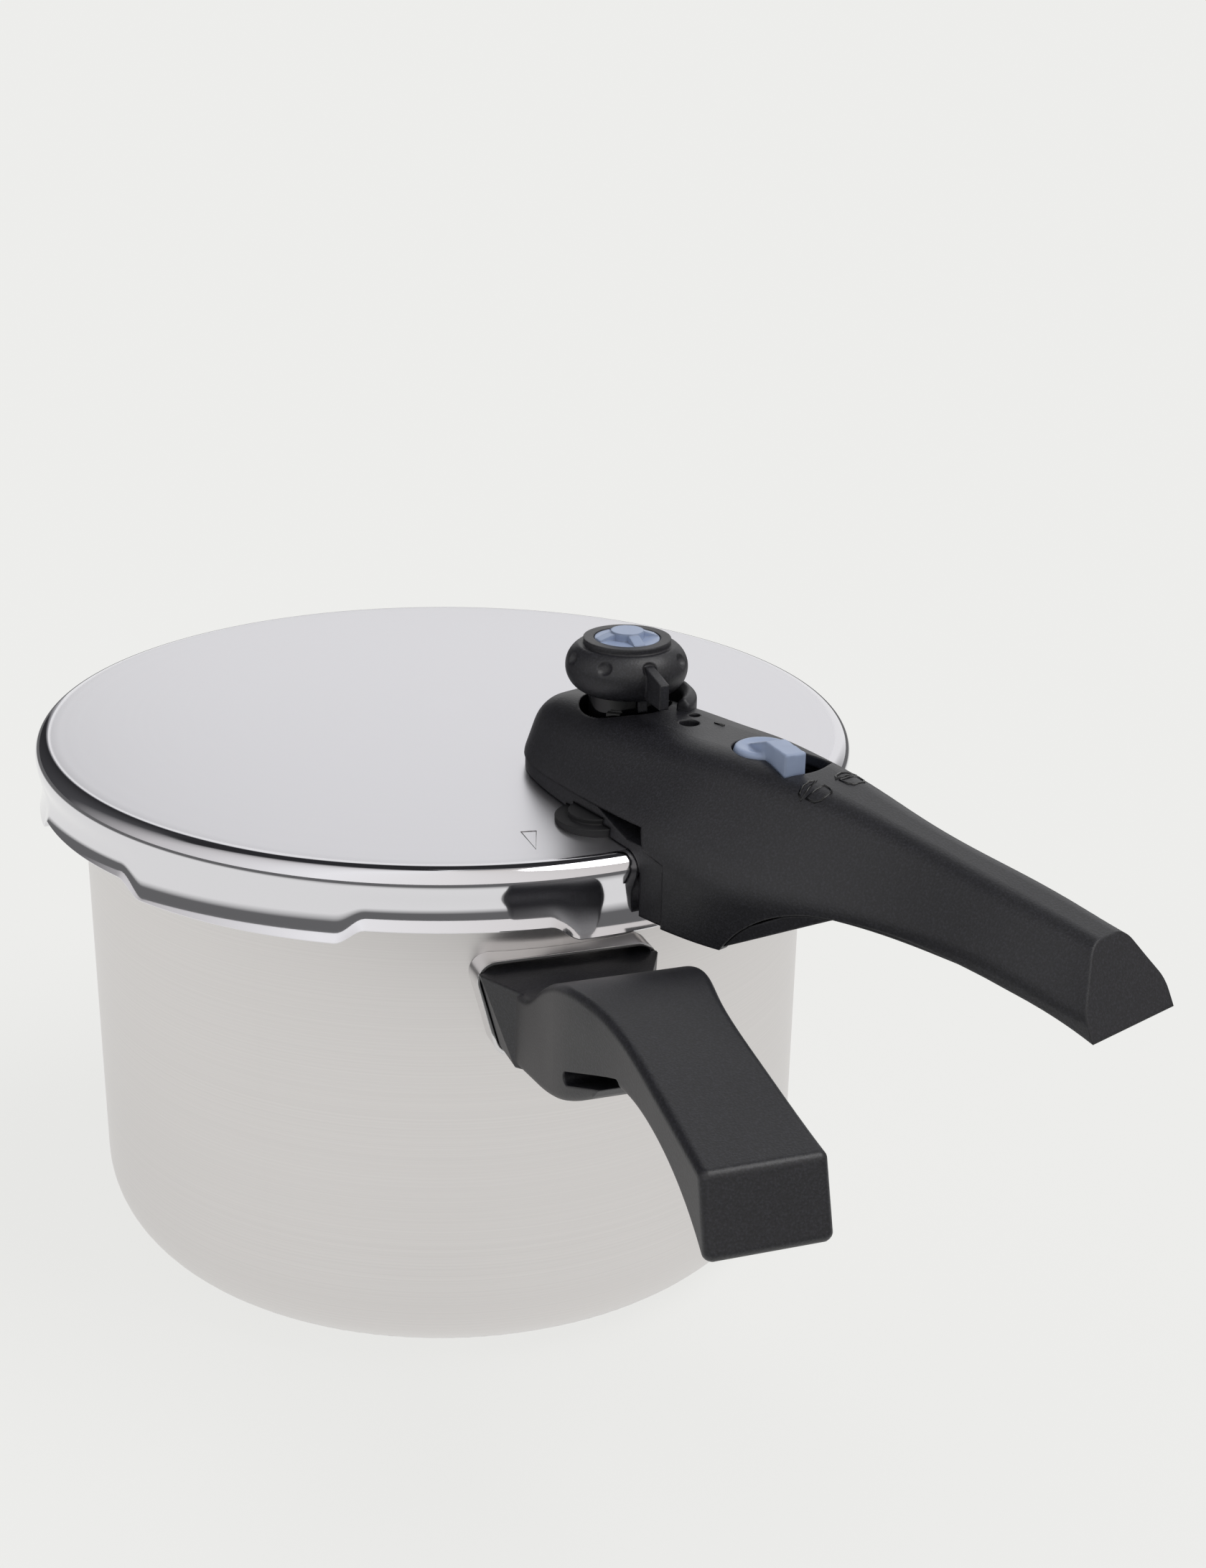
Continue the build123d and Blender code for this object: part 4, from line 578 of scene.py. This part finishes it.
def line_on(name, ground, points, width):
    """Mesh of a thin closed line through places that are dropped on a surface from above."""
    curve = bpy.data.curves.new(name, "CURVE")
    curve.dimensions = "3D"
    curve.bevel_depth = width / 2
    curve.bevel_resolution = 2
    spline = curve.splines.new("POLY")
    spline.points.add(len(points) - 1)
    spline.use_cyclic_u = True
    for knot, (x, y) in zip(spline.points, points):
        spot = ground.ray_cast(Vector((x, y, DROP_FROM)), Vector((0, 0, -1)))[0]
        knot.co = (*spot, 1.0)
    helper = bpy.data.objects.new(name, curve)
    mesh = bpy.data.meshes.new_from_object(helper)
    bpy.data.objects.remove(helper)
    return mesh


def on_handle(points, out, side, tilt=0.0, lift=0.0):
    """Places on the lid handle of a mark drawn in millimetres, its top towards the lever."""
    places = []
    for across, up in points:
        drawn = Matrix.Rotation(tilt, 2) @ Vector((across, up + lift)) * MM
        places.append(Matrix.Rotation(HANDLE_TURN, 2) @ Vector((out - drawn.y, side + drawn.x)))
    return places


def handle_marks(material):
    """Two plain pot marks, one with its lid raised, and a dash, moulded proud of the handle."""
    shell = surface("lid_handle_shell")
    pot = [(-3.1, 0.3), (-2.8, -2.1), (-1.8, -3.1), (1.8, -3.1), (2.8, -2.1), (3.1, 0.3), (0.0, 0.3)]
    cover = [(-3.6, 1.2), (-2.3, 2.4), (0.0, 2.9), (2.3, 2.4), (3.6, 1.2), (0.0, 1.2)]
    dash = [(0.2, 1.3), (0.2, -1.3), (-0.2, -1.3), (-0.2, 1.3)]
    marks = {
        "open_pot_mark": on_handle(pot, MARK_OUT, NEAR_MARK_SIDE),
        "open_cover_mark": on_handle(cover, MARK_OUT, NEAR_MARK_SIDE, COVER_TILT, COVER_LIFT),
        "shut_pot_mark": on_handle(pot, MARK_OUT, FAR_MARK_SIDE),
        "shut_cover_mark": on_handle(cover, MARK_OUT, FAR_MARK_SIDE),
        "pointer_dash": on_handle(dash, DASH_OUT, DASH_SIDE),
    }
    for name, points in marks.items():
        make_piece(name, line_on(name, shell, points, MARK_LINE), material, "lid")


def lid_arrow(material):
    """Plain outlined arrowhead etched near the lid's edge."""
    mesh = line_on("lid_arrow", surface("lid_shell"), ARROW_CORNERS, ETCH_LINE)
    make_piece("lid_arrow", mesh, material, "lid")


# Stage
def shown(tree, rays):
    """One for rays from the camera, a mirror or glass, and none for light that falls on surfaces."""
    pair = {0: rays["Is Camera Ray"], 1: rays["Is Glossy Ray"]}
    direct = add(tree, "ShaderNodeMath", pair, operation="MAXIMUM").outputs["Value"]
    glass = {0: direct, 1: rays["Is Transmission Ray"]}
    return add(tree, "ShaderNodeMath", glass, operation="MAXIMUM").outputs["Value"]


def floor_finish():
    """Pale matt paper, brightened where it is seen, that keeps the cooker's soft shadow.
    Only the steel sees it end, past a radius, in a painted dark reflection of a table; the camera sees
    it pale."""
    material, tree, shader = new_material("pale_paper")
    shader.inputs["Base Color"].default_value = colour(BACKGROUND)
    shader.inputs["Roughness"].default_value = 1.0
    shader.inputs["Specular IOR Level"].default_value = 0.0
    rays = add(tree, "ShaderNodeLightPath").outputs
    seen = {0: shown(tree, rays), 1: FLOOR_GLOW}
    share = add(tree, "ShaderNodeMath", seen, operation="MULTIPLY").outputs["Value"]
    place = add(tree, "ShaderNodeTexCoord").outputs["Object"]
    apart = {0: place, 1: PALE_REFLECTION_MIDDLE}
    away = add(tree, "ShaderNodeVectorMath", apart, operation="DISTANCE").outputs["Value"]
    edge = {"Value": away, "From Min": PALE_REFLECTION_RADIUS, "From Max": PALE_REFLECTION_RADIUS + PAINTED_TABLE_FADE}
    into_painted_table = add(tree, "ShaderNodeMapRange", edge).outputs["Result"]
    # Painted reflection: past the pale middle, glossy rays see the floor as a dark table, the camera
    # sees it pale
    painted_table_tone = add(tree, "ShaderNodeValToRGB", {"Fac": into_painted_table})
    sheet = set_ramp(painted_table_tone, [(0.0, BACKGROUND), (1.0, PAINTED_TABLE_REFLECTION)])
    seen_straight = {0: rays["Is Camera Ray"], 6: sheet, 7: colour(BACKGROUND)}
    tone = add(tree, "ShaderNodeMix", seen_straight, data_type="RGBA").outputs[2]
    glow = add(tree, "ShaderNodeEmission", {"Color": tone, "Strength": 1.0})
    layers = {0: share, 1: shader.outputs["BSDF"], 2: glow.outputs["Emission"]}
    mixed = add(tree, "ShaderNodeMixShader", layers)
    tree.links.new(mixed.outputs["Shader"], tree.nodes["Material Output"].inputs["Surface"])
    return material


def floor():
    """Wide sheet of paper that the cooker stands on."""
    mesh = bpy.data.meshes.new("floor")
    paper = bmesh.new()
    bmesh.ops.create_grid(paper, x_segments=1, y_segments=1, size=FLOOR_SIZE)
    paper.to_mesh(mesh)
    paper.free()
    mesh.materials.append(floor_finish())
    sheet = bpy.data.objects.new("floor", mesh)
    bpy.context.scene.collection.objects.link(sheet)


def painted_studio_reflection(tree, way, height):
    """Painted reflection that only the steel shows: pale walls with a dark part and greyer ones, and a
    dark far ceiling.
    """
    side = add(tree, "ShaderNodeTexGradient", {"Vector": way}, gradient_type="RADIAL").outputs["Fac"]
    # Painted reflection: dark and grey bands round the sides that only the steel sees
    walls = set_ramp(add(tree, "ShaderNodeValToRGB", {"Fac": side}), [
        (0.0, "CACACC"), (0.012, "2C2C2E"), (0.12, "4A4A4C"), (0.22, "D2D0D0"), (0.36, "FFFFFF"),
        (0.46, "F4F2F0"), (0.62, "D8D4D0"), (0.74, "9A9898"), (0.84, "A8A8A8"), (0.88, "F4F4F4"),
    ])
    towards = {0: way, 1: (cos(CAMERA_AZIMUTH), sin(CAMERA_AZIMUTH), 0.0)}
    far = add(tree, "ShaderNodeVectorMath", towards, operation="DOT_PRODUCT").outputs["Value"]
    past = {"Value": far, "From Min": PAINTED_FAR_SIDE_FROM, "From Max": PAINTED_FAR_SIDE_FROM + PAINTED_FAR_SIDE_FADE}
    behind = add(tree, "ShaderNodeMapRange", past).outputs["Result"]
    above = {"Value": height, "From Min": PAINTED_CEILING_FROM, "From Max": PAINTED_CEILING_FROM + PAINTED_CEILING_FADE}
    high = add(tree, "ShaderNodeMapRange", above).outputs["Result"]
    # Painted reflection: a dark ceiling high on the side away from the camera, seen only by the steel
    dark = add(tree, "ShaderNodeMath", {0: behind, 1: high}, operation="MULTIPLY").outputs["Value"]
    ceiling = {0: dark, 6: walls, 7: colour(PAINTED_CEILING_REFLECTION)}
    return add(tree, "ShaderNodeMix", ceiling, data_type="RGBA").outputs[2]


def world():
    """Soft surround: plain to the camera, a painted studio reflection where the steel shows it, and
    brighter overhead where it lights the cooker."""
    surround = bpy.data.worlds.new("studio")
    surround.use_nodes = True
    tree = surround.node_tree
    tree.nodes.clear()
    way = add(tree, "ShaderNodeTexCoord").outputs["Generated"]
    height = add(tree, "ShaderNodeSeparateXYZ", {"Vector": way}).outputs["Z"]
    rise = add(tree, "ShaderNodeValToRGB", {"Fac": height})
    overhead = set_ramp(rise, [(0.0, "B8B8B8"), (0.6, "FFFFFF")])
    rays = add(tree, "ShaderNodeLightPath").outputs
    studio = {0: rays["Is Camera Ray"], 6: painted_studio_reflection(tree, way, height), 7: colour(BACKGROUND)}
    backdrop = add(tree, "ShaderNodeMix", studio, data_type="RGBA").outputs[2]
    lit = add(tree, "ShaderNodeBackground", {"Color": overhead, "Strength": FILL_LEVEL})
    plain = add(tree, "ShaderNodeBackground", {"Color": backdrop, "Strength": 1.0})
    layers = {0: shown(tree, rays), 1: lit.outputs["Background"], 2: plain.outputs["Background"]}
    both = add(tree, "ShaderNodeMixShader", layers)
    add(tree, "ShaderNodeOutputWorld", {"Surface": both.outputs["Shader"]})
    bpy.context.scene.world = surround


def sun():
    """Broad soft lamp from above."""
    data = bpy.data.lights.new("sun", "SUN")
    data.energy = SUN_LEVEL
    data.angle = SUN_SOFTNESS
    lamp = bpy.data.objects.new("sun", data)
    lamp.rotation_euler = Vector(SUN_WAY).to_track_quat("-Z", "Y").to_euler()
    bpy.context.scene.collection.objects.link(lamp)


def camera():
    """Camera at the place, slant and roll fitted to the photograph."""
    data = bpy.data.cameras.new("camera")
    data.lens = CAMERA_LENS
    data.sensor_width = CAMERA_SENSOR
    data.shift_x, data.shift_y = CAMERA_SHIFT
    eye = bpy.data.objects.new("camera", data)
    flat = cos(CAMERA_PITCH)
    aim = Vector((flat * cos(CAMERA_AZIMUTH), flat * sin(CAMERA_AZIMUTH), -sin(CAMERA_PITCH)))
    turn = aim.to_track_quat("-Z", "Y") @ Quaternion((0, 0, 1), CAMERA_ROLL)
    eye.matrix_world = Matrix.Translation(CAMERA_PLACE) @ turn.to_matrix().to_4x4()
    bpy.context.scene.collection.objects.link(eye)
    bpy.context.scene.camera = eye


# Finishes of the CAD pieces
black = phenolic()
gloss = glossy_resin()
blue = blue_nylon()
bright = polished_lid_steel()
dress(["pan_body", "base_cap"], brushed_stainless())
dress(["lid_shell"], bright)
dress(["pan_handle_bracket", "lid_bracket", "vent_shield"], polished_sheet())
dress(["base_disc"], aluminium_plate())
dress(["pan_handle", "lid_handle_shell", "lid_handle_base", "valve_knob"], black)
dress(["valve_collar"], gloss)
dress(["sealing_ring", "safety_plug", "indicator_seal", "vent_washer"], silicone_rubber())
dress(["valve_cap", "lock_lever"], blue)
dress([
    "pan_handle_screw", "lid_handle_screws", "cover_screws", "vent_pipe", "vent_nut", "indicator_pin",
    "valve_needle", "valve_spring", "lock_cam", "lock_rivet",
], turned_steel())

# Pieces made here, the marks first since they are dropped on the CAD pieces
handle_marks(gloss)
lid_arrow(etched_line())
pressed_lid(bright)
lock_lever(blue)
valve_guard(black)

# Stage, light and camera
bpy.context.scene.view_settings.view_transform = "Standard"
floor()
world()
sun()
camera()
